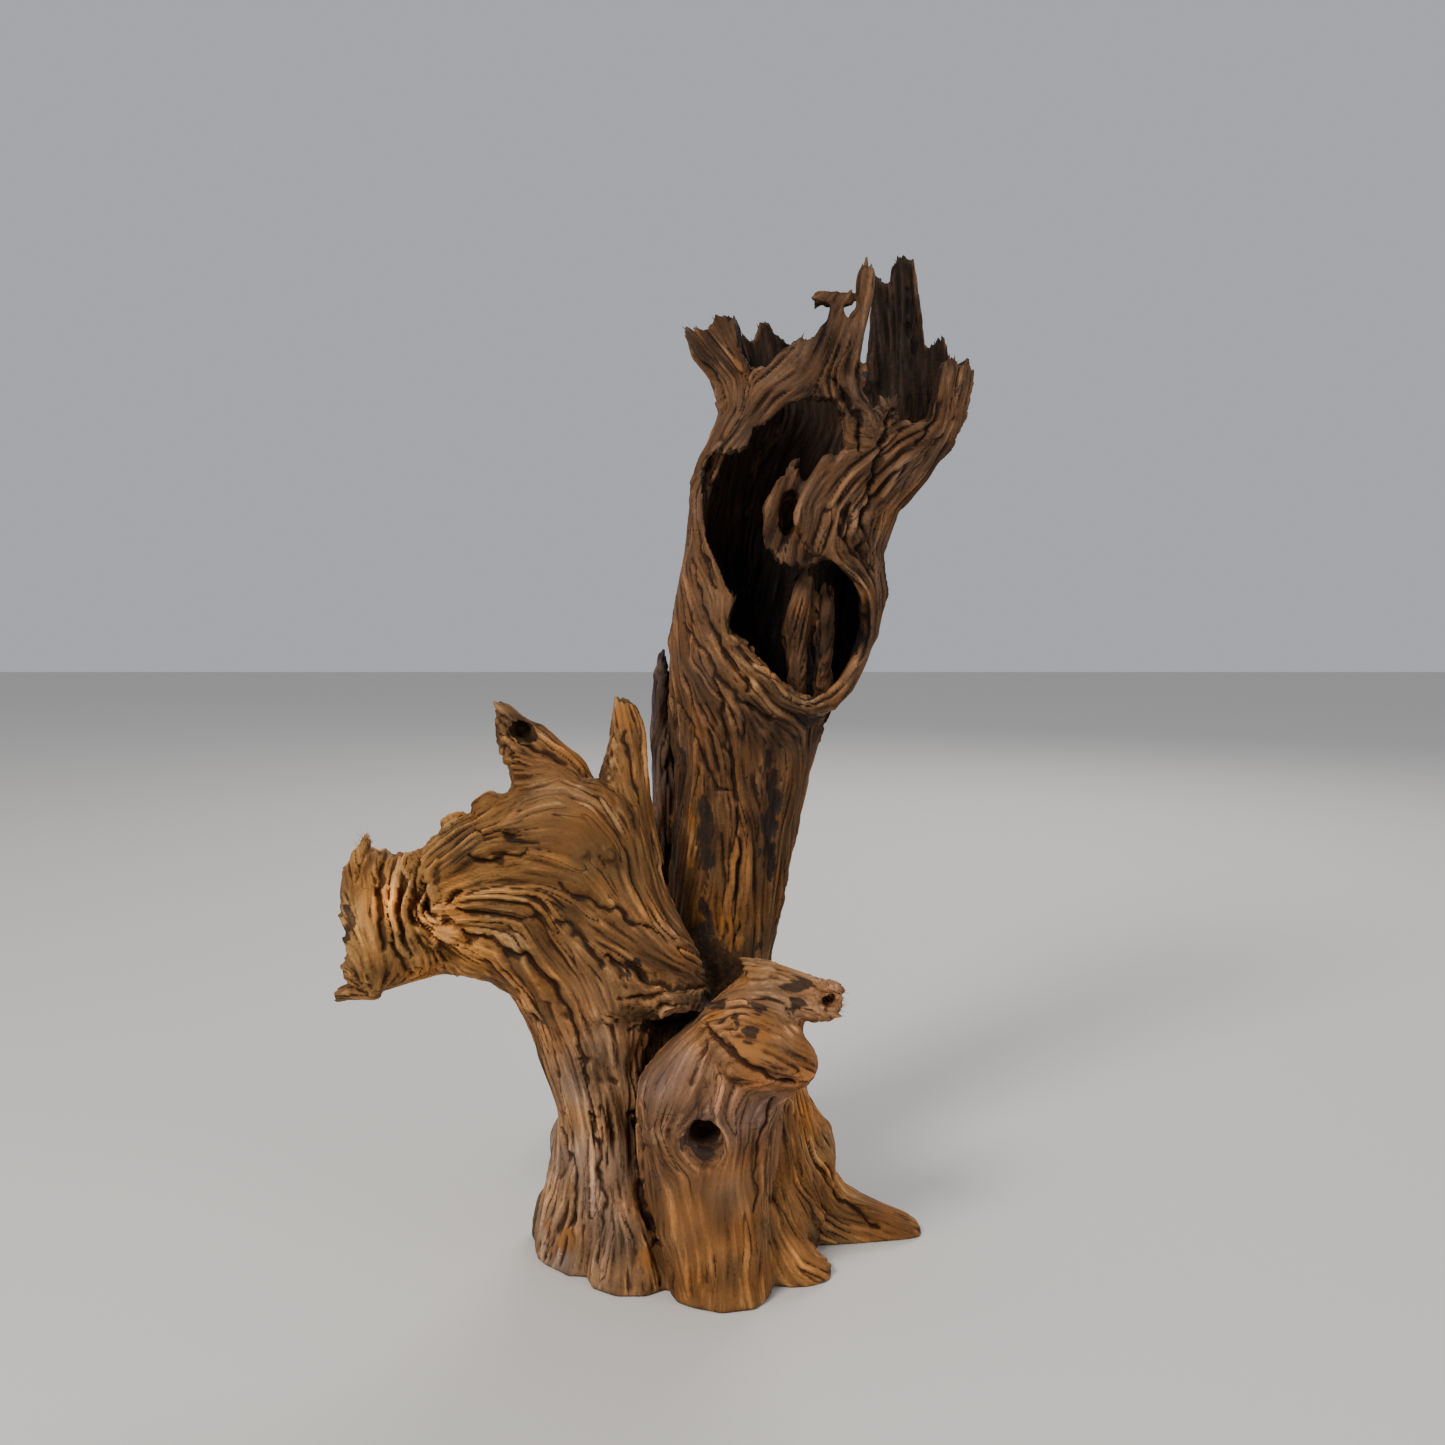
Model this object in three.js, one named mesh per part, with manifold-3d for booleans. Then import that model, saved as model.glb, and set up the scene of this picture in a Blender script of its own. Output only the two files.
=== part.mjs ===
// A weathered driftwood stump that stands on its roots: a tall hollow trunk with a splintered top,
// a thick horned branch that leans out to the left, and a short knobbed stub in front.
// Millimetres, +Z up, front towards -Y, origin on the floor at the middle of the whole.
import * as THREE from "three";
import { mergeVertices } from "three/addons/utils/BufferGeometryUtils.js";
import Module from "manifold-3d";

const wasm = await Module();
wasm.setup();

const jointGap = 0.3; // between two pieces that meet at a fork
const forkHeight = 80; // the foot is one piece up to here
const rootFork = 84; // the long root leaves the foot at this x
const middle = [1.8, -3.7]; // of the whole piece, in x and y, which is moved to the origin
const room = 400; // larger than the stump, for cutting boxes
const rimFoot = 150; // the splintered rim is cut only above this
const largeLump = 16; // a lump of a larger radius gets more faces
const tipShare = 0.35; // of a rod's radius, at its two ends
const tipSlope = 5; // how soon a rod reaches its full radius

// A limb is given by its two edges as seen from the front, from its foot to its tip.
// Each station is [first edge x, z, second edge x, z, y of the middle, half thickness in y].
const trunk = {
  sides: 24,
  rings: 23,
  ripples: [
    { waves: 3, depth: 0.05, turn: 2.4, phase: 0.6 },
    { waves: 7, depth: 0.04, turn: 4.2, phase: 2.1 },
    { waves: 11, depth: 0.025, turn: 6.0, phase: 0.2 },
  ],
  stations: [
    [-18, -12, 78, -12, 8, 58],
    [-12, 20, 84, 20, 11, 53],
    [-8, 50, 81, 50, 15, 48],
    [-5, 75, 70, 74, 18, 44],
    [-1, 106, 58, 105, 20, 41],
    [2, 136, 54, 135, 22, 38],
    [2, 164, 59, 164, 24, 37],
    [3, 192, 65, 194, 25, 37],
    [5, 218, 69, 215, 25, 38],
    [6, 242, 74, 241, 25, 39],
    [3, 267, 84, 264, 23, 42],
    [2, 291, 103, 293, 21, 44],
    [5, 317, 109, 318, 20, 44],
    [10, 337, 108, 339, 19, 43],
    [13, 362, 116, 363, 19, 42],
    [16, 384, 133, 382, 19, 43],
    [24, 400, 144, 400, 19, 44],
    [27, 415, 149, 416, 19, 44],
    [18, 432, 151, 433, 19, 44],
    [9, 446, 151, 449, 19, 44],
    [7, 494, 150, 494, 19, 44],
  ],
};

// The rotted heart of the trunk, open at the top.
const hollow = {
  sides: 16,
  rings: 10,
  ripples: [
    { waves: 4, depth: 0.06, turn: 1.5, phase: 1.0 },
    { waves: 9, depth: 0.03, turn: 3.0, phase: 0.4 },
  ],
  stations: [
    [60, 256, 84, 256, 17, 10],
    [47, 268, 90, 268, 17, 22],
    [32, 290, 98, 290, 17, 32],
    [20, 320, 101, 320, 17, 34],
    [20, 350, 101, 350, 17, 33],
    [24, 375, 114, 375, 17, 33],
    [34, 398, 134, 398, 17, 35],
    [35, 420, 141, 420, 17, 35],
    [28, 445, 143, 445, 17, 35],
    [26, 500, 142, 500, 17, 35],
  ],
};

// The opening in the front wall, as an outline in x and z, and the rolled lip round its lower end.
const opening = {
  from: -60,
  to: 13,
  outline: [
    [41, 390], [43, 398], [51, 402], [59, 409], [67, 411], [79, 410], [84, 403], [85, 388],
    [80, 384], [75, 385], [70, 377], [66, 371], [61, 358], [66, 347], [70, 341], [78, 338],
    [90, 329], [98, 323], [100, 304], [97, 292], [94, 286], [86, 276], [77, 270], [67, 274],
    [54, 283], [40, 299], [30, 305], [35, 320], [31, 325], [26, 338], [22, 346], [20, 359],
    [19, 371], [21, 384], [25, 389], [33, 388],
  ],
};
const lip = {
  radius: 4.5,
  path: [
    [18, 5, 352], [26, -10, 323], [29, -15, 303], [39, -19, 291], [52, -19, 278], [65, -16, 269],
    [76, -10, 268], [87, 2, 275], [96, 12, 289], [100, 14, 304], [98, 4, 320], [92, -7, 331],
    [83, -14, 339],
  ],
};

// The splintered rim, front half and back half, from left to right.
const rimSplit = 20;
const frontRim = [
  [12, 445], [18, 445], [22, 444], [27, 450], [33, 447], [35, 449], [37, 433], [42, 425],
  [49, 426], [62, 436], [70, 437], [77, 445], [79, 455], [83, 455], [85, 444], [90, 450],
  [91, 466], [94, 470], [97, 466], [97, 455], [91, 427], [96, 422], [92, 414], [98, 404],
  [100, 409], [108, 410], [109, 401], [118, 400], [125, 402], [131, 427], [136, 430],
  [140, 427], [144, 431], [150, 428],
];
const backRim = [
  [12, 445], [37, 445], [38, 448], [44, 446], [48, 455], [52, 455], [56, 450], [62, 446],
  [76, 444], [89, 432], [102, 435], [106, 479], [113, 474], [115, 486], [124, 486], [127, 468],
  [130, 441], [138, 447], [141, 431], [146, 428],
];

// Broken wood left standing inside the hollow, and the chip that balances on one splinter.
const innerPlate = {
  from: -17,
  to: 3,
  outline: [
    [82, 341], [69, 334], [55, 337], [49, 345], [48, 362], [53, 372], [56, 376], [58, 374],
    [60, 382], [63, 382], [66, 372], [65, 360], [72, 352],
  ],
};
const platePocket = { at: [60, -14, 359], radii: [5, 13, 12], lean: 0.1 };
const fingers = [
  {
    sides: 8,
    rings: 7,
    stations: [
      [62, 256, 69, 256, 11, 4],
      [60, 284, 70, 284, 10, 6],
      [59, 299, 71, 299, 9, 8],
      [58, 310, 72, 310, 8, 8],
      [61, 320, 73, 320, 7, 7],
      [65, 330, 74, 328, 6, 5],
      [69, 335, 71, 334, 6, 2],
    ],
  },
  {
    sides: 8,
    rings: 6,
    stations: [
      [71, 256, 78, 256, 13, 4],
      [73, 283, 83, 283, 12, 6],
      [73, 299, 83, 299, 11, 8],
      [73, 310, 84, 313, 10, 7],
      [73, 319, 83, 321, 9, 5],
      [76, 325, 79, 325, 8, 2],
    ],
  },
];
const chip = { size: [17, 8, 5], at: [79, -21, 455], lean: 0.04 };

// Burls on the back of the trunk.
const burls = [
  { at: [30, 56, 172], radii: [18, 11, 30], lean: 0.1 },
  { at: [56, 55, 305], radii: [20, 14, 26], lean: 0.15 },
];

// A thin slab of old wood that grows from the foot and stands free behind the fork.
const spur = {
  sides: 10,
  rings: 12,
  ripples: [{ waves: 5, depth: 0.14, turn: 1.0, phase: 0.5 }],
  stations: [
    [-22, -10, 24, -10, 34, 27],
    [-16, 30, 24, 30, 34, 25],
    [-11, 70, 26, 70, 34, 23],
    [-8, 110, 30, 110, 34, 22],
    [-6, 140, 26, 140, 35, 20],
    [-8, 160, 20, 160, 37, 16],
    [-9, 178, 10, 178, 39, 13],
    [-8, 200, 7, 200, 40, 12],
    [-7, 225, 6, 225, 41, 11],
    [-7, 250, 5, 250, 41, 10],
    [-6, 277, 3, 276, 41, 8],
    [-4, 290, 0, 290, 41, 4],
  ],
};

const leftBranch = {
  sides: 22,
  rings: 22,
  ripples: [
    { waves: 3, depth: 0.05, turn: 1.5, phase: 0.3 },
    { waves: 6, depth: 0.05, turn: 3.0, phase: 1.4 },
    { waves: 10, depth: 0.03, turn: 4.0, phase: 0.9 },
  ],
  stations: [
    [-63, -10, 4, -29, -16, 24],
    [-62, 17, -1, -2, -17, 25],
    [-59, 32, -6, 22, -19, 26],
    [-53, 54, -8, 47, -20, 27],
    [-50, 77, -8, 75, -21, 25],
    [-56, 97, -6, 96, -22, 25],
    [-64, 122, -3, 124, -24, 26],
    [-73, 137, 24, 134, -26, 28],
    [-85, 144, 14, 163, -28, 30],
    [-96, 145, -2, 195, -30, 31],
    [-103, 145, -8, 225, -30, 30],
    [-107, 144, -31, 239, -32, 29],
    [-112, 143, -62, 232, -34, 27],
    [-117, 142, -86, 222, -36, 25],
    [-121, 141, -104, 209, -38, 24],
    [-128, 140, -117, 202, -40, 24],
    [-136, 140, -129, 206, -41, 25],
    [-143, 146, -140, 204, -41, 24],
  ],
};
const horns = [
  {
    sides: 10,
    rings: 8,
    stations: [
      [-75, 222, -25, 222, -26, 20],
      [-69, 237, -32, 238, -25, 16],
      [-74, 245, -37, 246, -24, 13],
      [-76, 251, -44, 252, -23, 11],
      [-77, 260, -52, 259, -23, 9],
      [-77, 266, -63, 265, -22, 7],
      [-76, 271, -71, 271, -22, 3],
    ],
  },
  {
    sides: 10,
    rings: 6,
    stations: [
      [-30, 214, 2, 196, -24, 18],
      [-29, 230, -3, 217, -22, 15],
      [-28, 242, -5, 232, -20, 12],
      [-25, 251, -6, 248, -20, 10],
      [-23, 262, -7, 261, -20, 8],
      [-22, 273, -12, 271, -20, 4],
    ],
  },
];
const beak = {
  sides: 8,
  rings: 4,
  stations: [
    [-121, 158, -129, 136, -44, 12],
    [-134, 151, -135, 137, -46, 9],
    [-141, 146, -142, 137, -47, 6],
    [-147, 142, -147, 136, -48, 3],
  ],
};
const curl = {
  sides: 8,
  rings: 6,
  stations: [
    [-144, 172, -132, 172, -50, 8],
    [-143, 183, -131, 183, -53, 8],
    [-143, 192, -129, 192, -54, 9],
    [-139, 204, -129, 204, -52, 8],
    [-135, 210, -129, 210, -50, 6],
    [-133, 213, -131, 213, -49, 2],
  ],
};
const earRidge = {
  radius: 7,
  path: [
    [-64, -42, 220], [-50, -42, 226], [-36, -40, 229], [-26, -39, 228], [-20, -39, 222],
    [-16, -39, 213], [-14, -40, 203], [-12, -42, 192],
  ],
};
const branchLumps = [
  { at: [-105, -35, 198], radii: [8, 13, 9], lean: 0.6 },
  { at: [-92, -35, 211], radii: [10, 15, 10], lean: 0.6 },
  { at: [-77, -34, 221], radii: [11, 15, 11], lean: 0.5 },
  { at: [-33, -54, 207], radii: [3, 5, 3], lean: 0 },
  { at: [-21, -53, 206], radii: [3, 5, 3], lean: 0 },
  { at: [-2, -46, 140], radii: [25, 13, 9], lean: 0.15 },
];
const branchPits = [
  { at: [-147, -38, 168], radii: [15, 15, 17], lean: 0 }, // the rotted left end
  { at: [-152, -62, 168], radii: [15, 20, 19], lean: 0.1 }, // broken back in front
  { at: [-63, -31, 259], radii: [7, 9, 4.5], lean: 0.35 }, // the hollow horn
  { at: [-15, -56, 122], radii: [22, 13, 9], lean: 0.1 }, // the crevice under the branch
];

const frontStub = {
  sides: 20,
  rings: 16,
  ripples: [
    { waves: 3, depth: 0.05, turn: 1.2, phase: 2.0 },
    { waves: 8, depth: 0.035, turn: 2.0, phase: 0.7 },
  ],
  stations: [
    [7, -18, 52, -18, -51, 22],
    [2, 12, 53, 11, -49, 25],
    [-2, 31, 51, 30, -48, 26],
    [-9, 51, 53, 51, -46, 27],
    [-11, 68, 56, 68, -46, 28],
    [-11, 84, 57, 84, -46, 28],
    [-10, 100, 59, 94, -47, 28],
    [-2, 111, 65, 102, -48, 27],
    [9, 122, 67, 112, -49, 26],
    [19, 130, 66, 124, -50, 24],
    [24, 136, 66, 133, -50, 21],
    [32, 143, 61, 143, -48, 16],
    [42, 152, 51, 152, -46, 6],
  ],
};
const twig = {
  sides: 10,
  rings: 5,
  stations: [
    [38, 157, 45, 132, -46, 12],
    [52, 156, 58, 132, -48, 13],
    [64, 151, 66, 129, -50, 13],
    [76, 149, 76, 129, -54, 12],
    [83, 147, 81, 133, -56, 9],
  ],
};
const knob = {
  sides: 12,
  rings: 10,
  ripples: [{ waves: 3, depth: 0.06, turn: 0.6, phase: 1.0 }],
  stations: [
    [18, 130, 19, 117, -58, 7],
    [22, 136, 22, 111, -60, 13],
    [30, 140, 31, 104, -62, 18],
    [40, 144, 41, 102, -63, 20],
    [51, 140, 52, 101, -63, 20],
    [61, 130, 62, 101, -62, 18],
    [69, 121, 68, 104, -61, 13],
    [72, 115, 72, 110, -60, 5],
  ],
};
const knobLobe = {
  sides: 8,
  rings: 4,
  stations: [
    [20, 112, 34, 112, -66, 8],
    [21, 105, 35, 105, -67, 8],
    [22, 97, 35, 97, -68, 8],
    [25, 89, 33, 88, -69, 5],
  ],
};
const stubPits = [
  { at: [22, -80, 97], radii: [6, 11, 17], lean: -0.1 }, // under the knob
  { at: [21, -74, 83], radii: [9.5, 18, 7], lean: 0.35 }, // the knot hole
  { at: [77, -64, 141], radii: [4, 11, 4], lean: 0.3 }, // the twig's rotted end
];

const longRoot = {
  sides: 12,
  rings: 13,
  ripples: [
    { waves: 3, depth: 0.07, turn: 1.0, phase: 0.4 },
    { waves: 5, depth: 0.05, turn: 1.5, phase: 1.4 },
  ],
  stations: [
    [66, 92, 40, 92, 24, 26],
    [72, 72, 48, 66, 22, 26],
    [75, 61, 53, 38, 18, 27],
    [82, 57, 56, 18, 15, 26],
    [86, 45, 61, 1, 12, 24],
    [86, 33, 67, -10, 10, 22],
    [92, 23, 80, -12, 8, 18],
    [102, 18, 97, -11, 7, 15],
    [111, 14, 109, -11, 7, 13],
    [120, 10, 119, -10, 7, 12],
    [127, 6, 127, -9, 7, 9],
    [130, 0, 130, -5, 7, 5],
  ],
};
const shortRoots = [
  {
    sides: 10,
    rings: 4,
    stations: [
      [-30, 60, 6, 60, -26, 14],
      [-34, 34, 6, 34, -32, 18],
      [-36, 12, 8, 12, -38, 20],
      [-36, -8, 10, -8, -41, 20],
    ],
  },
  {
    sides: 10,
    rings: 7,
    stations: [
      [38, 62, 28, -4, -26, 22],
      [47, 51, 38, -7, -30, 20],
      [55, 36, 47, -10, -33, 18],
      [63, 25, 55, -10, -36, 16],
      [71, 15, 66, -8, -37, 14],
      [78, 7, 74, -6, -37, 10],
      [81, 1, 80, -2, -37, 5],
    ],
  },
  {
    sides: 10,
    rings: 8,
    stations: [
      [-67, -8, -23, -13, 0, 22],
      [-67, 7, -23, 2, 2, 21],
      [-64, 19, -23, 15, 3, 20],
      [-58, 28, -22, 27, 3, 20],
      [-57, 39, -18, 38, 3, 20],
      [-58, 53, -12, 51, 3, 20],
      [-54, 63, -6, 61, 4, 20],
      [-38, 72, 2, 72, 8, 17],
      [-14, 76, 10, 76, 12, 10],
    ],
  },
  {
    sides: 10,
    rings: 4,
    stations: [
      [10, 70, 62, 70, 36, 20],
      [8, 40, 62, 40, 46, 20],
      [10, 18, 60, 18, 55, 19],
      [14, -8, 56, -8, 60, 17],
    ],
  },
];

// Wood that fills the fork between trunk, branch and stub.
const forkWeb = {
  sides: 10,
  rings: 7,
  stations: [
    [-30, -8, 40, -8, -14, 30],
    [-28, 40, 40, 40, -14, 26],
    [-28, 80, 36, 80, -12, 22],
    [-22, 112, 34, 112, -10, 20],
    [-10, 134, 30, 134, -6, 16],
    [0, 158, 24, 158, 2, 12],
  ],
};

const wood = (name, colour) => {
  const material = new THREE.MeshStandardMaterial({ color: colour, roughness: 0.85, metalness: 0 });
  material.name = name;
  return material;
};
const rootWood = wood("root_wood", "#6b4a33");
const trunkWood = wood("trunk_wood", "#6f4e39");
const branchWood = wood("branch_wood", "#8a6236");
const stubWood = wood("stub_wood", "#7a5238");
const spurWood = wood("spur_wood", "#3f322c");

// three.js geometry to a solid that can be joined and cut, and back.
function solid(geometry) {
  geometry.deleteAttribute("normal");
  geometry.deleteAttribute("uv");
  const merged = mergeVertices(geometry, 1e-3);
  return new wasm.Manifold(
    new wasm.Mesh({
      numProp: 3,
      vertProperties: new Float32Array(merged.attributes.position.array),
      triVerts: new Uint32Array(merged.index.array),
    }),
  );
}

function mesh(name, shape, material) {
  const { numProp, vertProperties, triVerts } = shape.getMesh();
  const points = new Float32Array((vertProperties.length / numProp) * 3);
  for (let i = 0; i < points.length / 3; i++) {
    points.set(vertProperties.subarray(i * numProp, i * numProp + 3), i * 3);
  }
  const geometry = new THREE.BufferGeometry();
  geometry.setAttribute("position", new THREE.BufferAttribute(points, 3));
  geometry.setIndex(new THREE.BufferAttribute(triVerts, 1));
  const made = new THREE.Mesh(geometry, material);
  made.name = name;
  return made;
}

// How far the flutes swell a limb at one angle. They fade out at its two measured edges.
function swelling(ripples, angle, along) {
  const wave = (r) => r.depth * Math.sin(r.waves * angle + r.turn * along * Math.PI + r.phase);
  return 1 + ripples.reduce((sum, r) => sum + wave(r), 0) * Math.abs(Math.sin(angle));
}

// A closed limb lofted through its stations, with shallow flutes that wind round it.
function limb({ stations, sides, rings, ripples = [] }, grow = 0) {
  const through = (pick) => new THREE.CatmullRomCurve3(stations.map(pick), false, "centripetal");
  const first = through((s) => new THREE.Vector3(s[0], 0, s[1]));
  const second = through((s) => new THREE.Vector3(s[2], 0, s[3]));
  const across = through((s) => new THREE.Vector3(s[4], s[5], 0));
  const points = [];
  for (let i = 0; i <= rings; i++) {
    const along = i / rings;
    const [a, b, d] = [first.getPoint(along), second.getPoint(along), across.getPoint(along)];
    const centre = a.clone().add(b).multiplyScalar(0.5);
    const half = a.clone().sub(b).multiplyScalar(0.5);
    half.setLength(half.length() + grow);
    for (let k = 0; k < sides; k++) {
      const angle = (k / sides) * 2 * Math.PI;
      const swell = swelling(ripples, angle, along);
      const p = centre.clone().addScaledVector(half, Math.cos(angle) * swell);
      points.push(p.x, d.x + (d.y + grow) * Math.sin(angle) * swell, p.z);
    }
  }
  return closedLoft(points, sides, rings);
}

// A round rod with tapered ends, along a smooth path.
function rod({ path, radius }, sides = 6, rings = 16) {
  const curve = new THREE.CatmullRomCurve3(path.map((p) => new THREE.Vector3(...p)));
  const frames = curve.computeFrenetFrames(rings);
  const points = [];
  for (let i = 0; i <= rings; i++) {
    const centre = curve.getPointAt(i / rings);
    const girth = radius * Math.min(1, tipShare + (tipSlope * Math.min(i, rings - i)) / rings);
    for (let k = 0; k < sides; k++) {
      const angle = (k / sides) * 2 * Math.PI;
      const p = centre.clone();
      p.addScaledVector(frames.normals[i], girth * Math.cos(angle));
      p.addScaledVector(frames.binormals[i], girth * Math.sin(angle));
      points.push(p.x, p.y, p.z);
    }
  }
  return closedLoft(points, sides, rings);
}

function closedLoft(points, sides, rings) {
  const faces = [];
  for (let i = 0; i < rings; i++) {
    for (let k = 0; k < sides; k++) {
      const [p, q] = [i * sides + k, i * sides + ((k + 1) % sides)];
      faces.push(p, q, q + sides, p, q + sides, p + sides);
    }
  }
  const last = rings * sides;
  for (let k = 1; k < sides - 1; k++) {
    faces.push(0, k + 1, k, last, last + k, last + k + 1);
  }
  const geometry = new THREE.BufferGeometry();
  geometry.setAttribute("position", new THREE.Float32BufferAttribute(points, 3));
  geometry.setIndex(faces);
  const made = solid(geometry);
  if (made.volume() > 0) {
    return made;
  }
  for (let i = 0; i < faces.length; i += 3) {
    [faces[i], faces[i + 1]] = [faces[i + 1], faces[i]];
  }
  geometry.setIndex(faces);
  return solid(geometry);
}

// An outline in x and z, given thickness from one y to another.
function slab({ outline, from, to }) {
  const shape = new THREE.Shape(outline.map(([x, z]) => new THREE.Vector2(x, z)));
  const geometry = new THREE.ExtrudeGeometry(shape, { depth: to - from, bevelEnabled: false });
  geometry.rotateX(Math.PI / 2).translate(0, to, 0);
  return solid(geometry);
}

function box(low, high) {
  const size = high.map((value, i) => value - low[i]);
  const geometry = new THREE.BoxGeometry(...size);
  geometry.translate(...low.map((value, i) => value + size[i] / 2));
  return solid(geometry);
}

function lump({ at, radii, lean }) {
  const detail = Math.max(...radii) > largeLump ? [12, 8] : [8, 6];
  const geometry = new THREE.SphereGeometry(1, ...detail);
  geometry.scale(...radii).rotateY(lean).translate(...at);
  return solid(geometry);
}

const joined = (shapes) => shapes.reduce((sum, next) => sum.add(next));
const cut = (shape, tools) => tools.reduce((left, tool) => left.subtract(tool), shape);
const above = (height) => box([-room, -room, height], [room, room, 2 * room]);
const below = (height) => box([-room, -room, 0], [room, room, height]);

// Everything under the rim line stays, from one y to another.
function underRim(rim, from, to) {
  const [start, end] = [rim[0], rim[rim.length - 1]];
  const outline = [[-room, start[1]], ...rim, [room, end[1]], [room, rimFoot], [-room, rimFoot]];
  return slab({ outline, from, to });
}

function hollowTrunk() {
  const low = box([-room, -room, -room], [room, room, rimFoot + 1]);
  const kept = joined([low, underRim(frontRim, -room, rimSplit), underRim(backRim, rimSplit, room)]);
  const body = joined([limb(trunk), ...burls.map(lump)]);
  const shell = body.subtract(limb(hollow)).intersect(kept).subtract(slab(opening));
  const chipGeometry = new THREE.BoxGeometry(...chip.size);
  chipGeometry.rotateY(chip.lean).translate(...chip.at);
  const plate = slab(innerPlate).subtract(lump(platePocket));
  const inside = [plate, ...fingers.map((f) => limb(f)), solid(chipGeometry)];
  return joined([shell, rod(lip), ...inside, limb(forkWeb)]);
}

function hornedBranch(grow = 0) {
  const limbs = [leftBranch, ...horns, beak, curl].map((part) => limb(part, grow));
  const ridge = rod({ ...earRidge, radius: earRidge.radius + grow });
  return joined([...limbs, ridge, ...branchLumps.map(lump)]);
}

function knobbedStub(grow = 0) {
  const bare = joined([limb(frontStub, grow), limb(twig, grow), limb(knob, grow)]);
  if (grow > 0) {
    return bare;
  }
  return joined([cut(bare, stubPits.map(lump)), limb(knobLobe)]);
}

const clearStub = knobbedStub(jointGap);
const clearBranch = hornedBranch(jointGap);
const feet = [trunk, leftBranch, spur, longRoot, ...shortRoots, forkWeb].map((part) => limb(part));
const foot = joined(feet).intersect(below(forkHeight - jointGap)).subtract(clearStub);
const longRootSide = box([rootFork, -room, -room], [room, room, room]);
const footSide = box([-room, -room, -room], [rootFork - jointGap, room, room]);

const pieces = {
  root_crown: [foot.intersect(footSide), rootWood],
  right_root: [foot.intersect(longRootSide), rootWood],
  hollow_trunk: [cut(hollowTrunk().intersect(above(forkHeight)), [clearStub, clearBranch]), trunkWood],
  left_branch: [
    cut(hornedBranch(), branchPits.map(lump)).intersect(above(forkHeight)).subtract(clearStub),
    branchWood,
  ],
  front_stub: [knobbedStub().intersect(above(0)), stubWood],
  rear_spur: [
    cut(limb(spur).intersect(above(forkHeight)), [limb(trunk, jointGap), ...burls.map(lump), clearBranch]),
    spurWood,
  ],
};

const driftwood = new THREE.Group();
driftwood.position.set(-middle[0], -middle[1], 0);
for (const [name, [shape, material]] of Object.entries(pieces)) {
  driftwood.add(mesh(name, shape, material));
}

export default driftwood;
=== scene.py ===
# Weathered driftwood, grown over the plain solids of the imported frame.
# Lengths are millimetres in this script and metres in the finished meshes.
import itertools
import math
import time

import bpy
import numpy as np
import openvdb
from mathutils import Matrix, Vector
from mathutils.bvhtree import BVHTree
from mathutils.geometry import tessellate_polygon


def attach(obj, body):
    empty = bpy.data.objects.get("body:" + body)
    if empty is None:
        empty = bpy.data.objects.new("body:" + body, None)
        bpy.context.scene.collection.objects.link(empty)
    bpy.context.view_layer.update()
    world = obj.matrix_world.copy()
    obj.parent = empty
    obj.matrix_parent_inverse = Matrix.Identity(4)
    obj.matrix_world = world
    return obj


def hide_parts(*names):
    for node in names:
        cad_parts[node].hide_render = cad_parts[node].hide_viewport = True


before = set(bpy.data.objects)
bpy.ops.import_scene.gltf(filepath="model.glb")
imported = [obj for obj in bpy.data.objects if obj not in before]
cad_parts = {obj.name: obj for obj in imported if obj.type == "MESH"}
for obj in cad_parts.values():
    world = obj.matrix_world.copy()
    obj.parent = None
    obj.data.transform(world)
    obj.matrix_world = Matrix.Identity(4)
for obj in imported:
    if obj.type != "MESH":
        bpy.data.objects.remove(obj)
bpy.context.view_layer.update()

mm = 0.001
started = time.time()


def report(text):
    print(f"{time.time() - started:6.1f} s  {text}", flush=True)


# Where the photograph was taken from
view = {
    "pixels": 1445,
    "focal": 1400,  # pixels
    "place": (27.2, -667.3, 332.0),
    "tilt": 6.136,  # degrees down
    "sensor": 36.0,
    "spacing": 4,  # pixels between the places looked up along a drawn line
}


def pixelRay(u, v):
    tilt = math.radians(view["tilt"])
    right = (u - view["pixels"] / 2) / view["focal"]
    up = (view["pixels"] / 2 - v) / view["focal"]
    ahead = math.cos(tilt) + up * math.sin(tilt)
    return Vector((right, ahead, up * math.cos(tilt) - math.sin(tilt))).normalized()


def smoothStep(low, high, x):
    t = np.clip((x - low) / (high - low), 0, 1)
    return t * t * (3 - 2 * t)


def unit(vectors):
    return vectors / np.maximum(np.linalg.norm(vectors, axis=-1, keepdims=True), 1e-9)


def dot(a, b):  # row by row
    return np.einsum("ij,ij->i", a, b)


# Numbers on a regular grid

def corners(points, low, step, shape, wraps=False):
    low = np.broadcast_to(low, (3,))
    near, share = [], []
    for axis in range(3):
        where = (points[:, axis] - low[axis]) / step
        if not wraps:
            where = np.clip(where, 0, shape[axis] - 1.001)
        cell = np.floor(where).astype(np.int64)
        part = (where - cell).astype(np.float32)
        near.append((cell % shape[axis], (cell + 1) % shape[axis]))
        share.append((1 - part, part))
    for i, j, k in itertools.product((0, 1), repeat=3):
        flat = (near[0][i] * shape[1] + near[1][j]) * shape[2] + near[2][k]
        yield flat, share[0][i] * share[1][j] * share[2][k]


class Grid:
    def __init__(self, values, low, step, wraps=False):
        self.values = values
        self.flat = values.reshape(values.shape[0] * values.shape[1] * values.shape[2], -1)
        self.low, self.step, self.wraps = low, step, wraps

    def around(self, points):
        return corners(points, self.low, self.step, self.values.shape, self.wraps)

    def read(self, points):
        total = 0
        for index, weight in self.around(points):
            total = total + self.flat[index] * weight[:, None]
        return total[:, 0] if self.flat.shape[1] == 1 else total

    def heading(self, points, before):  # a direction without a sign, read so that it goes on from before
        total = 0
        for index, weight in self.around(points):
            found = self.flat[index]
            sign = np.sign(dot(found, before))
            total = total + found * (weight * sign)[:, None]
        return unit(total)


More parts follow.
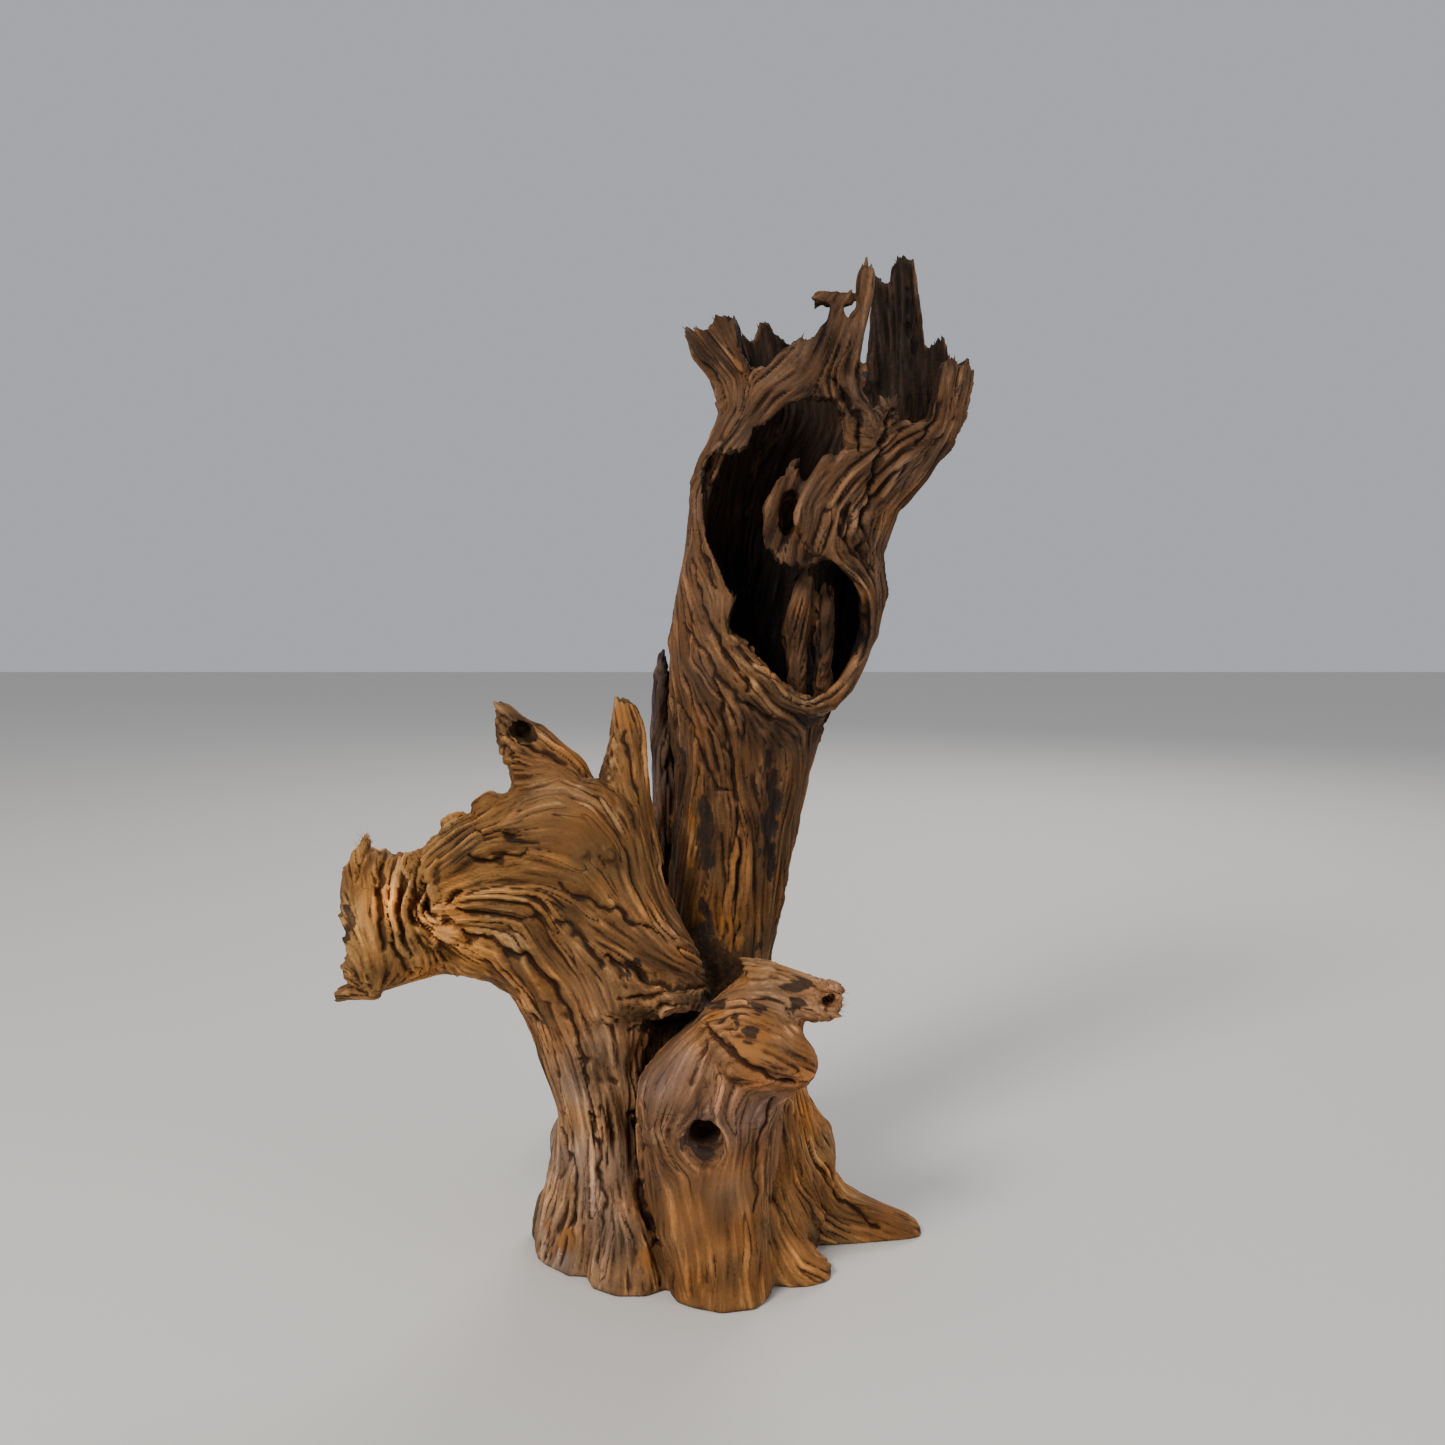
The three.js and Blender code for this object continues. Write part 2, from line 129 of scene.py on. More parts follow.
def blurred(values, sigma):
    reach = int(math.ceil(2.5 * sigma))
    kernel = np.exp(-0.5 * (np.arange(-reach, reach + 1) / sigma) ** 2)
    kernel = (kernel / kernel.sum()).astype(np.float32)
    for axis in range(3):
        padding = [(0, 0)] * 3
        padding[axis] = (reach, reach)
        padded = np.pad(values, padding)
        size = values.shape[axis]
        values = 0
        for k, weight in enumerate(kernel):
            cut = [slice(None)] * 3
            cut[axis] = slice(k, k + size)
            values = values + weight * padded[tuple(cut)]
    return values


# Random bumps of one wavelength that repeat after a while
noiseCells = 96
noiseWave = 6  # cells to one wavelength
noiseBand = 0.35  # how far the wavelength varies


def noise(wavelength, seed):
    white = np.random.default_rng(seed).standard_normal((noiseCells,) * 3)
    spectrum = np.fft.rfftn(white)
    f = np.fft.fftfreq(noiseCells)
    radius = np.sqrt(f[:, None, None] ** 2 + f[None, :, None] ** 2 + np.fft.rfftfreq(noiseCells) ** 2)
    band = np.exp(-0.5 * (np.log(np.maximum(radius, 1e-6) * noiseWave) / noiseBand) ** 2)
    made = np.fft.irfftn(spectrum * band, s=(noiseCells,) * 3)
    return Grid((made / made.std()).astype(np.float32), 0, wavelength / noiseWave, wraps=True)


# The forks of the wood, with the material of each
pieceSlots = {
    "root_crown": "root_wood",
    "right_root": "root_wood",
    "hollow_trunk": "trunk_wood",
    "left_branch": "branch_wood",
    "front_stub": "stub_wood",
    "rear_spur": "spur_wood",
}
nodeNames = list(pieceSlots)

# The solid, as one closed skin of small quads
body = {
    "voxel": 1.0,
    "band": 4,  # voxels, on each side of the surface
    "closing": 0.5,  # the narrow cuts between the forks are grown shut by this much
    "relax": 30,  # rounds of smoothing, which take away the facets
    "steps": (0.5, 0.51),  # towards the neighbours and back, in each round
    "near": 2.4,  # how far round a place its wood is counted
    "wide": 8.0,
    "coarser": 4,  # voxels to a step in the wide count
    "thin": (0.30, 0.43),  # share of wood close by, between which smoothing sets in
    "held": 0.9,  # share of the smoothing that thin wood is spared
    "wornStep": 0.6,
    "soften": 3,  # rounds of softening at the edge of a patch
    "blend": 6,  # and between one fork and the next
}


def cadTriangles(name):
    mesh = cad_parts[name].data
    points = np.empty(len(mesh.vertices) * 3, np.float32)
    mesh.vertices.foreach_get("co", points)
    mesh.calc_loop_triangles()
    triangles = np.empty(len(mesh.loop_triangles) * 3, np.int32)
    mesh.loop_triangles.foreach_get("vertices", triangles)
    return points.reshape(-1, 3) / mm, triangles.reshape(-1, 3)


cadPoints, cadFaces, cadOwner = [], [], []
for number, name in enumerate(nodeNames):
    points, triangles = cadTriangles(name)
    cadFaces.append(triangles + sum(len(p) for p in cadPoints))
    cadPoints.append(points)
    cadOwner += [number] * len(triangles)
cadPoints, cadFaces, cadOwner = np.concatenate(cadPoints), np.concatenate(cadFaces), np.array(cadOwner)
cadTree = BVHTree.FromPolygons(cadPoints.tolist(), cadFaces.tolist())


def seen(u, v):  # the place on the solids that a pixel of the photograph shows
    return cadTree.ray_cast(Vector(view["place"]), pixelRay(u, v))[0]


def levelSet(points, **faces):
    lattice = openvdb.createLinearTransform(voxelSize=body["voxel"])
    return openvdb.FloatGrid.createLevelSetFromPolygons(
        points.astype(np.float32), transform=lattice, halfWidth=body["band"], **faces
    )


grown = levelSet(cadPoints, triangles=cadFaces.astype(np.uint32))
points, _, quads = grown.convertToPolygons(isovalue=body["closing"], adaptivity=0)
shut = levelSet(points, quads=quads[:, ::-1].copy())
points, _, quads = shut.convertToPolygons(isovalue=-body["closing"], adaptivity=0)
quads = quads[:, ::-1].astype(np.int64)
report(f"one skin of {len(quads)} quads")


class Skin:
    def __init__(self, points, quads):
        self.points, self.quads = points.astype(np.float64), quads
        pairs = np.sort(np.concatenate([quads[:, [k, (k + 1) % 4]] for k in range(4)]), axis=1)
        keys = np.unique(pairs[:, 0] * len(points) + pairs[:, 1])
        self.ends = np.stack([keys // len(points), keys % len(points)])
        self.degree = np.bincount(self.ends.ravel(), minlength=len(points))

    def mean(self, values):  # of the neighbours
        if values.ndim == 2:
            return np.stack([self.mean(values[:, k]) for k in range(values.shape[1])], axis=1)
        a, b = self.ends
        total = np.bincount(a, values[b], len(values)) + np.bincount(b, values[a], len(values))
        return total / self.degree

    def softened(self, values, rounds):
        for _ in range(rounds):
            values = self.mean(values)
        return values

    def normals(self):
        p = self.points[self.quads]
        across = np.cross(p[:, 2] - p[:, 0], p[:, 3] - p[:, 1])
        at, count = self.quads.ravel(), len(self.points)
        total = [np.bincount(at, np.repeat(across[:, k], 4), count) for k in range(3)]
        return unit(np.stack(total, axis=1))


skin = Skin(points, quads)

# How much wood there is round each place, near and wide
low, high = shut.evalActiveVoxelBoundingBox()
shape = [h - l + 1 for l, h in zip(low, high)]
distance = np.empty(shape, np.float32)
shut.copyToArray(distance, ijk=low)
corner = np.array(low) * body["voxel"]
filled = (distance < -body["closing"]).astype(np.float32)
woodNear = Grid(blurred(filled, body["near"] / body["voxel"]), corner, body["voxel"])
every = body["coarser"]
coarse = every * body["voxel"]
woodWide = Grid(blurred(filled[::every, ::every, ::every], body["wide"] / coarse), corner, coarse)
report("amount of wood round each place")

thin = 1 - smoothStep(*body["thin"], woodNear.read(skin.points))
thin = skin.softened(thin, body["soften"])
hold = (1 - body["held"] * thin)[:, None]
towards, back = body["steps"]
for _ in range(body["relax"]):
    skin.points += towards * hold * (skin.mean(skin.points) - skin.points)
    skin.points -= back * hold * (skin.mean(skin.points) - skin.points)


def spotted(spots):  # soft round spots on the skin, at pixels of the photograph or at places
    total = np.zeros(len(skin.points))
    for *place, reach, share in spots:
        if len(place) == 2:
            place = seen(*place)
        total += share * np.exp(-((skin.points - np.array(place)) ** 2).sum(1) / reach**2)
    return total


worn = [  # places rubbed smooth: pixel or place, reach, share
    (600, 1035, 16, 1), (570, 1035, 12, 1), (690, 1000, 14, 1), (640, 1000, 14, 1), (-30, 14, 68, 18, 1),
    (-48, 6, 66, 18, 1), (-45, -8, 68, 16, 1),
]
wear = np.clip(spotted(worn), 0, 1)[:, None]
for _ in range(2 * body["relax"]):
    skin.points += body["wornStep"] * wear * (skin.mean(skin.points) - skin.points)
report("smoothed")

# Limbs: points along the middle with a radius, the twist of the grain where it has one,
# and the colour at even steps along the limb: the wood's own colour with painted light and
# shade in it, darker up the trunk and at the feet of the fingers in the hollow, where shade
# fell, and lighter at the left end of the branch and on the right roots, where more light fell
limbs = {
    "trunk": {
        "path": [
            (30, 12, -12, 45), (34, 16, 50, 42), (29, 24, 106, 34), (31, 28, 164, 32), (36, 29, 216, 34),
            (43, 27, 268, 40), (53, 25, 304, 46), (58, 23, 337, 46), (68, 23, 375, 48), (84, 23, 405, 52),
            (84, 23, 440, 52), (80, 23, 500, 52),
        ],
        "twist": 0.12,
        # darker above the foot: painted shade
        "wood": [(0.15, 0.065, 0.018), (0.075, 0.031, 0.007), (0.11, 0.053, 0.024), (0.095, 0.046, 0.021)],
    },
    "branch": {
        "path": [
            (-32, -12, -20, 28), (-33, -13, 8, 28), (-34, -15, 27, 28), (-32, -16, 50, 26),
            (-31, -17, 76, 24), (-33, -18, 97, 25), (-35, -20, 123, 28), (-37, -24, 153, 32),
            (-51, -26, 170, 36), (-57, -26, 185, 38), (-71, -28, 191, 38), (-89, -30, 187, 36),
            (-103, -32, 182, 34), (-114, -34, 175, 32), (-124, -36, 171, 32), (-134, -37, 173, 34),
            (-143, -37, 175, 34),
        ],
        # lightest at the left end: the wood's own golden colour, made lighter with painted light
        "wood": [
            (0.21, 0.12, 0.068), (0.255, 0.145, 0.08), (0.235, 0.132, 0.07), (0.19, 0.092, 0.036),
            (0.145, 0.064, 0.017), (0.24, 0.11, 0.028), (0.38, 0.18, 0.05),
        ],
    },
    "stub": {
        "path": [
            (28, -47, -18, 25), (26, -45, 12, 27), (23, -44, 31, 27), (20, -42, 51, 30), (21, -42, 68, 32),
            (21, -42, 84, 33), (23, -43, 97, 33), (30, -44, 106, 32), (36, -45, 117, 30),
            (41, -46, 127, 25), (43, -46, 134, 22), (45, -44, 143, 17), (45, -42, 153, 8),
        ],
        "wood": [
            (0.2, 0.088, 0.026), (0.165, 0.07, 0.02), (0.145, 0.065, 0.026), (0.17, 0.092, 0.058),
            (0.2, 0.1, 0.04),
        ],
    },
    "twig": {
        "path": [
            (38, -42, 146, 12), (53, -44, 144, 12), (63, -46, 140, 12), (74, -50, 139, 11),
            (84, -53, 140, 9),
        ],
        "wood": [(0.26, 0.12, 0.04), (0.3, 0.14, 0.055), (0.33, 0.165, 0.08)],
    },
    "knob": {
        "path": [
            (17, -54, 123, 8), (20, -56, 123, 13), (29, -58, 122, 18), (39, -59, 123, 21),
            (50, -59, 121, 20), (60, -58, 116, 16), (67, -57, 112, 11), (70, -56, 112, 6),
        ],
        "wood": [(0.26, 0.115, 0.038), (0.25, 0.1, 0.028)],
    },
    # this root and the small one are lighter than the trunk's foot: painted light, where more light fell on
    # them
    "longRoot": {
        "path": [
            (130, 11, -2, 5), (125, 11, -1, 9), (118, 11, 0, 12), (108, 11, 2, 14), (98, 11, 4, 16),
            (84, 12, 6, 20), (75, 14, 12, 24), (72, 16, 23, 26), (67, 19, 38, 27), (62, 22, 50, 27),
            (58, 26, 69, 27), (51, 28, 92, 26),
        ],
        "wood": [(0.22, 0.09, 0.024), (0.25, 0.11, 0.03), (0.33, 0.145, 0.036)],
    },
    "smallRoot": {
        "path": [
            (80, -33, 0, 5), (74, -33, 1, 10), (67, -33, 4, 14), (57, -32, 8, 17), (49, -29, 13, 20),
            (41, -26, 22, 22), (31, -22, 29, 24),
        ],
        "wood": [(0.28, 0.12, 0.032), (0.28, 0.12, 0.03)],
    },
    "leftRoot": {
        "path": [
            (-50, 4, -10, 22), (-48, 6, 5, 22), (-45, 7, 17, 22), (-42, 7, 28, 20), (-39, 7, 39, 20),
            (-37, 7, 52, 20), (-32, 8, 62, 20), (-20, 12, 72, 18), (-4, 16, 76, 12),
        ],
        "wood": [(0.135, 0.078, 0.042), (0.125, 0.072, 0.038)],
    },
    "backRoot": {
        "path": [(33, 64, -8, 18), (33, 59, 18, 20), (33, 50, 40, 22), (34, 40, 70, 22)],
        "wood": [(0.15, 0.075, 0.03), (0.14, 0.07, 0.03)],
    },
    "spur": {
        "path": [
            (-1, 38, -10, 25), (2, 38, 30, 22), (6, 38, 70, 20), (9, 38, 110, 19), (8, 39, 140, 17),
            (4, 41, 160, 14), (-1, 43, 178, 11), (-2, 44, 200, 9), (-2, 45, 225, 8), (-3, 45, 250, 7),
            (-3, 45, 277, 6), (-4, 45, 292, 3),
        ],
        "wood": [
            (0.12, 0.06, 0.03), (0.1, 0.055, 0.03), (0.055, 0.04, 0.04), (0.045, 0.034, 0.037),
            (0.04, 0.031, 0.034),
        ],
    },
    "firstHorn": {
        "path": [
            (-52, -22, 222, 22), (-52, -21, 237, 18), (-57, -20, 246, 15), (-62, -19, 252, 12),
            (-66, -19, 260, 11), (-72, -18, 266, 8), (-76, -18, 273, 4),
        ],
        "wood": [(0.16, 0.07, 0.02), (0.17, 0.078, 0.026)],
    },
    "secondHorn": {
        "path": [
            (-16, -20, 205, 18), (-18, -18, 224, 14), (-18, -16, 237, 12), (-17, -16, 250, 10),
            (-17, -16, 262, 8), (-19, -16, 274, 5),
        ],
        "wood": [(0.18, 0.08, 0.022), (0.2, 0.092, 0.028)],
    },
    "curl": {
        "path": [
            (-140, -46, 172, 8), (-139, -49, 183, 8), (-138, -50, 192, 8), (-136, -48, 204, 6),
            (-134, -45, 215, 3),
        ],
        "wood": [(0.2, 0.1, 0.035), (0.2, 0.1, 0.035)],
    },
    "beak": {
        "path": [(-127, -40, 147, 11), (-136, -42, 144, 8), (-143, -43, 141, 6), (-151, -44, 138, 3)],
        "wood": [(0.16, 0.08, 0.04), (0.16, 0.08, 0.05)],
    },
    "lip": {
        "path": [
            (16, 9, 352, 5), (24, -6, 323, 6), (27, -11, 303, 7), (37, -15, 291, 7), (50, -15, 278, 7),
            (63, -12, 269, 7), (74, -6, 268, 6), (85, 6, 275, 6), (94, 16, 289, 6), (98, 18, 304, 5),
        ],
        "wood": [(0.12, 0.06, 0.028), (0.15, 0.075, 0.03), (0.12, 0.06, 0.028)],
    },
    # both fingers are darkest at their feet, low in the hollow: painted shade
    "leftFinger": {
        "path": [(63, 14, 256, 7), (65, 13, 299, 8), (65, 12, 310, 8), (67, 11, 320, 7), (69, 10, 338, 4)],
        "wood": [(0.03, 0.012, 0.004), (0.085, 0.036, 0.015)],
    },
    "rightFinger": {
        "path": [(73, 17, 256, 6), (76, 15, 299, 7), (77, 14, 312, 7), (76, 12, 328, 4)],
        "wood": [(0.025, 0.01, 0.004), (0.07, 0.029, 0.012)],
    },
}

# The way the grain runs, drawn over the photograph, in its pixels
grainStrokes = {
    "trunkTop": [
        [(692, 340), (725, 380), (730, 405), (707, 450), (692, 490), (690, 535), (680, 590), (672, 640)],
        [(700, 545), (725, 590), (725, 625), (755, 655), (790, 685), (820, 710)],
        [(685, 590), (710, 640), (745, 680), (785, 715), (810, 740)],
        [(950, 380), (940, 420), (895, 440), (860, 475), (835, 510), (835, 550), (855, 570), (875, 590),
         (885, 620), (870, 655), (845, 685), (820, 705)],
        [(970, 380), (960, 430), (920, 475), (895, 505), (880, 550), (882, 590)],
        [(842, 315), (830, 375), (845, 415), (870, 440)],
        [(820, 370), (770, 395), (725, 445)],
        [(905, 270), (907, 355)],
        [(965, 370), (957, 410), (950, 440)],
    ],
    "trunkLow": [
        [(674, 569), (685, 669), (725, 736), (747, 826), (747, 915)],
        [(859, 669), (814, 736), (797, 826), (780, 926)],
    ],
    "branch": [
        [(578, 1100), (554, 1040), (524, 992), (494, 959), (458, 944), (434, 938)],
        [(602, 1070), (584, 1016), (560, 962), (524, 920), (476, 914), (446, 920)],
        [(680, 968), (632, 932), (584, 890), (536, 878), (488, 878), (446, 890)],
        [(647, 920), (632, 848), (602, 800), (560, 782), (518, 794), (482, 818), (440, 848)],
        [(632, 908), (608, 860), (584, 830), (548, 824), (500, 836), (452, 854)],
        [(380, 854), (377, 908), (380, 968)],
        [(410, 860), (404, 908), (416, 956)],
        [(430, 870), (427, 905), (440, 950)],
        [(584, 764), (548, 734), (506, 704)],
        [(650, 842), (638, 770), (620, 710)],
        [(704, 968), (656, 950), (620, 938)],
    ],
    "stub": [
        [(700, 1320), (700, 1240), (694, 1175), (665, 1150), (648, 1120), (655, 1085), (685, 1045),
         (715, 1020)],
        [(665, 1270), (650, 1210), (642, 1150), (640, 1110), (648, 1075), (675, 1040), (705, 1015)],
        [(740, 1310), (738, 1230), (735, 1170), (742, 1130), (755, 1100), (775, 1092)],
        [(765, 1290), (760, 1215), (765, 1150), (778, 1110), (790, 1095)],
        [(690, 1108), (704, 1080), (708, 1050), (712, 1025)],
        [(672, 1118), (690, 1085), (702, 1050)],
        [(712, 1035), (740, 1045), (770, 1060), (800, 1072)],
        [(715, 1012), (745, 1012), (785, 1030), (812, 1050)],
        [(735, 1092), (760, 1092), (790, 1088)],
        [(745, 990), (775, 990), (830, 1000)],
        [(718, 1090), (722, 1120), (735, 1150), (750, 1200)],
    ],
    "bar": [
        [(816, 298), (850, 298)],
    ],
    "roots": [
        [(570, 1120), (575, 1170), (568, 1215), (552, 1250)],
        [(600, 1110), (607, 1180), (610, 1230), (600, 1275)],
        [(622, 1120), (632, 1190), (645, 1240), (655, 1290)],
        [(795, 1100), (812, 1160), (845, 1205), (905, 1230)],
        [(790, 1130), (795, 1180), (825, 1225), (875, 1240)],
        [(770, 1190), (780, 1230), (800, 1265), (825, 1275)],
    ],
}

# Knots that the grain runs round: pixel and radius on the front, or a place and a radius behind
knots = {
    "front": [(704, 1137, 9), (856, 423, 7)],
    "behind": [
        ((10, 62, 130), 8), ((52, 66, 250), 10), ((20, 65, 330), 7), ((-80, 2, 190), 8), ((80, 60, 360), 7),
    ],
    "reach": (2.0, 4.5),  # radii, between which a knot's pull on the grain fades
    "core": 0.8,  # radii, within which it grows no stronger
}


def traced(pixels):  # the places on the wood along a line drawn over the photograph
    found = []
    for (u0, v0), (u1, v1) in zip(pixels, pixels[1:]):
        steps = max(1, round(math.hypot(u1 - u0, v1 - v0) / view["spacing"]))
        for k in range(steps + 1):
            t = k / steps
            place = seen(u0 + t * (u1 - u0), v0 + t * (v1 - v0))
            if place is not None:
                found.append(place)
    return np.array(found).reshape(-1, 3)


def nearestOn(path, points):  # distance, direction of the line, share of its length, offset from it
    path = np.asarray(path, float)
    lengths = np.linalg.norm(np.diff(path, axis=0), axis=1)
    before = np.concatenate([[0], np.cumsum(lengths)])
    best = np.full(len(points), 1e9)
    heading, share, offset = np.zeros((len(points), 3)), np.zeros(len(points)), np.zeros((len(points), 3))
    for k, (a, b) in enumerate(zip(path, path[1:])):
        if lengths[k] < 1e-6:
            continue
        along = (b - a) / lengths[k]
        t = np.clip((points - a) @ along, 0, lengths[k])
        away = points - a - t[:, None] * along
        gap = dot(away, away)
        nearer = gap < best
        best[nearer], heading[nearer], offset[nearer] = gap[nearer], along, away[nearer]
        share[nearer] = (before[k] + t[nearer]) / before[-1]
    return np.sqrt(best), heading, share, offset


def within(points, path, reach):
    path = np.asarray(path, float)
    inside = np.all((points > path.min(0) - reach) & (points < path.max(0) + reach), axis=1)
    return np.flatnonzero(inside)


flow = {
    "cell": 4.0,
    "margin": 12.0,
    "reach": 3.0,  # radii of a limb
    "middle": 0.05,  # the less, the more a limb's own middle decides
    "strokeWidth": {"bar": 5.0, "others": 13.0},
    "strokeWeight": 8.0,
    "wander": 0.09,
    "wanderWave": 28.0,
    "wanderSeed": 40,
    "elsewhere": (0.11, 0.055, 0.026),  # colour away from every limb
    "upright": 1e-4,  # weight of a plain upright grain there
    "least": 1e-6,
}
low = skin.points.min(0) - flow["margin"]
shape = np.ceil((skin.points.max(0) + flow["margin"] - low) / flow["cell"]).astype(int) + 1
steps = np.stack(np.meshgrid(*[np.arange(n) for n in shape], indexing="ij"), -1)
cells = low + flow["cell"] * steps.reshape(-1, 3)
tensor = np.zeros((len(cells), 3, 3))
tensor[:, 2, 2] = flow["upright"]
wood = np.full((len(cells), 3), flow["least"]) * flow["elsewhere"]
total = np.full(len(cells), flow["least"])
for name, limb in limbs.items():
    path = np.array(limb["path"], float)
    near = within(cells, path[:, :3], flow["reach"] * path[:, 3].max())
    gap, heading, share, offset = nearestOn(path[:, :3], cells[near])
    radius = np.interp(share, np.linspace(0, 1, len(path)), path[:, 3])
    weight = 1 / (flow["middle"] + (gap / radius) ** 4)
    around = unit(np.cross(heading, offset)) * np.clip(gap / radius, 0, 1)[:, None]
    heading = unit(heading + limb.get("twist", 0.0) * around)
    tensor[near] += weight[:, None, None] * heading[:, :, None] * heading[:, None, :]
    stops = np.linspace(0, 1, len(limb["wood"]))
    channels = [np.interp(share, stops, values) for values in zip(*limb["wood"])]
    wood[near] += weight[:, None] * np.stack(channels, axis=1)
    total[near] += weight
woodAndPaintedLight = Grid((wood / total[:, None]).reshape(*shape, 3).astype(np.float32), low, flow["cell"])
namedStrokes = [(name, stroke) for name, strokes in grainStrokes.items() for stroke in strokes]
for name, stroke in namedStrokes:
    path = traced(stroke)
    width = flow["strokeWidth"].get(name, flow["strokeWidth"]["others"])
    near = within(cells, path, 2 * width)
    gap, heading, _, _ = nearestOn(path, cells[near])
    weight = flow["strokeWeight"] * np.exp(-((gap / width) ** 2))
    tensor[near] += weight[:, None, None] * heading[:, :, None] * heading[:, None, :]
wander = np.stack([noise(flow["wanderWave"], flow["wanderSeed"] + k).read(cells) for k in range(3)], axis=1)
grain = unit(np.linalg.eigh(tensor)[1][:, :, 2] + flow["wander"] * wander)

forwards, backwards = np.array((0.0, -1.0, 0.0)), np.array((0.0, 1.0, 0.0))
knotPlaces = [(place, radius, backwards) for place, radius in knots["behind"]]
knotPlaces += [(seen(u, v), radius, forwards) for u, v, radius in knots["front"]]
for place, radius, n in knotPlaces:
    away = cells - np.array(place, float)
    near = np.flatnonzero(np.linalg.norm(away, axis=1) < knots["reach"][1] * radius)
    fade = smoothStep(knots["reach"][1], knots["reach"][0], np.linalg.norm(away[near], axis=1) / radius)
    t = grain[near]
    flat = unit(t - (t @ n)[:, None] * n)
    side = np.cross(n, flat)
    x, y = dot(away[near], flat), dot(away[near], side)
    r = np.maximum(np.hypot(x, y), knots["core"] * radius)
    ahead = -fade * (radius / r) ** 2 * (x * x - y * y) / r**2
    aside = -2 * fade * (radius / r) ** 2 * x * y / r**2
    grain[near] = unit(t + ahead[:, None] * flat + aside[:, None] * side)
grain = Grid(grain.reshape(*shape, 3).astype(np.float32), low, flow["cell"])
report("the way the grain runs")

# Streaks: noise drawn out along the grain
streaks = {
    "step": 1.4,  # under half the finest wave, or the streaks turn into rows of beads
    "coarse": {"wave": 12.0, "steps": 32, "seed": 3},
    "middle": {"wave": 6.0, "steps": 26, "seed": 11},
    "fine": {"wave": 3.6, "steps": 15, "seed": 23},
    "places": {"wave": 50.0, "steps": 2, "seed": 31},  # where the streaks are strong
}


def drawnOut(points):
    made = {name: noise(s["wave"], s["seed"]) for name, s in streaks.items() if name != "step"}
    sums = {name: grid.read(points) for name, grid in made.items()}
    start = grain.flat[next(grain.around(points))[0]]
    start = grain.heading(points, start)
    for way in (1, -1):
        at, before = points.copy(), way * start
        for k in range(1, max(streaks[name]["steps"] for name in made) + 1):
            before = grain.heading(at, before)
            at = at + streaks["step"] * before
            for name, grid in made.items():
                if k <= streaks[name]["steps"]:
                    weight = 0.5 + 0.5 * math.cos(math.pi * k / (streaks[name]["steps"] + 1))
                    sums[name] += weight * grid.read(at)
    return {name: (s - s.mean()) / s.std() for name, s in sums.items()}, start


normals = skin.normals()
streak, along = drawnOut(skin.points)
report("streaks drawn out along the grain")

owner = np.zeros((len(skin.points), len(nodeNames)))
nearest = [cadTree.find_nearest(p)[2] for p in skin.points.tolist()]
owner[np.arange(len(nearest)), cadOwner[nearest]] = 1
owner = skin.softened(owner, body["blend"])
report("each place's own limb")

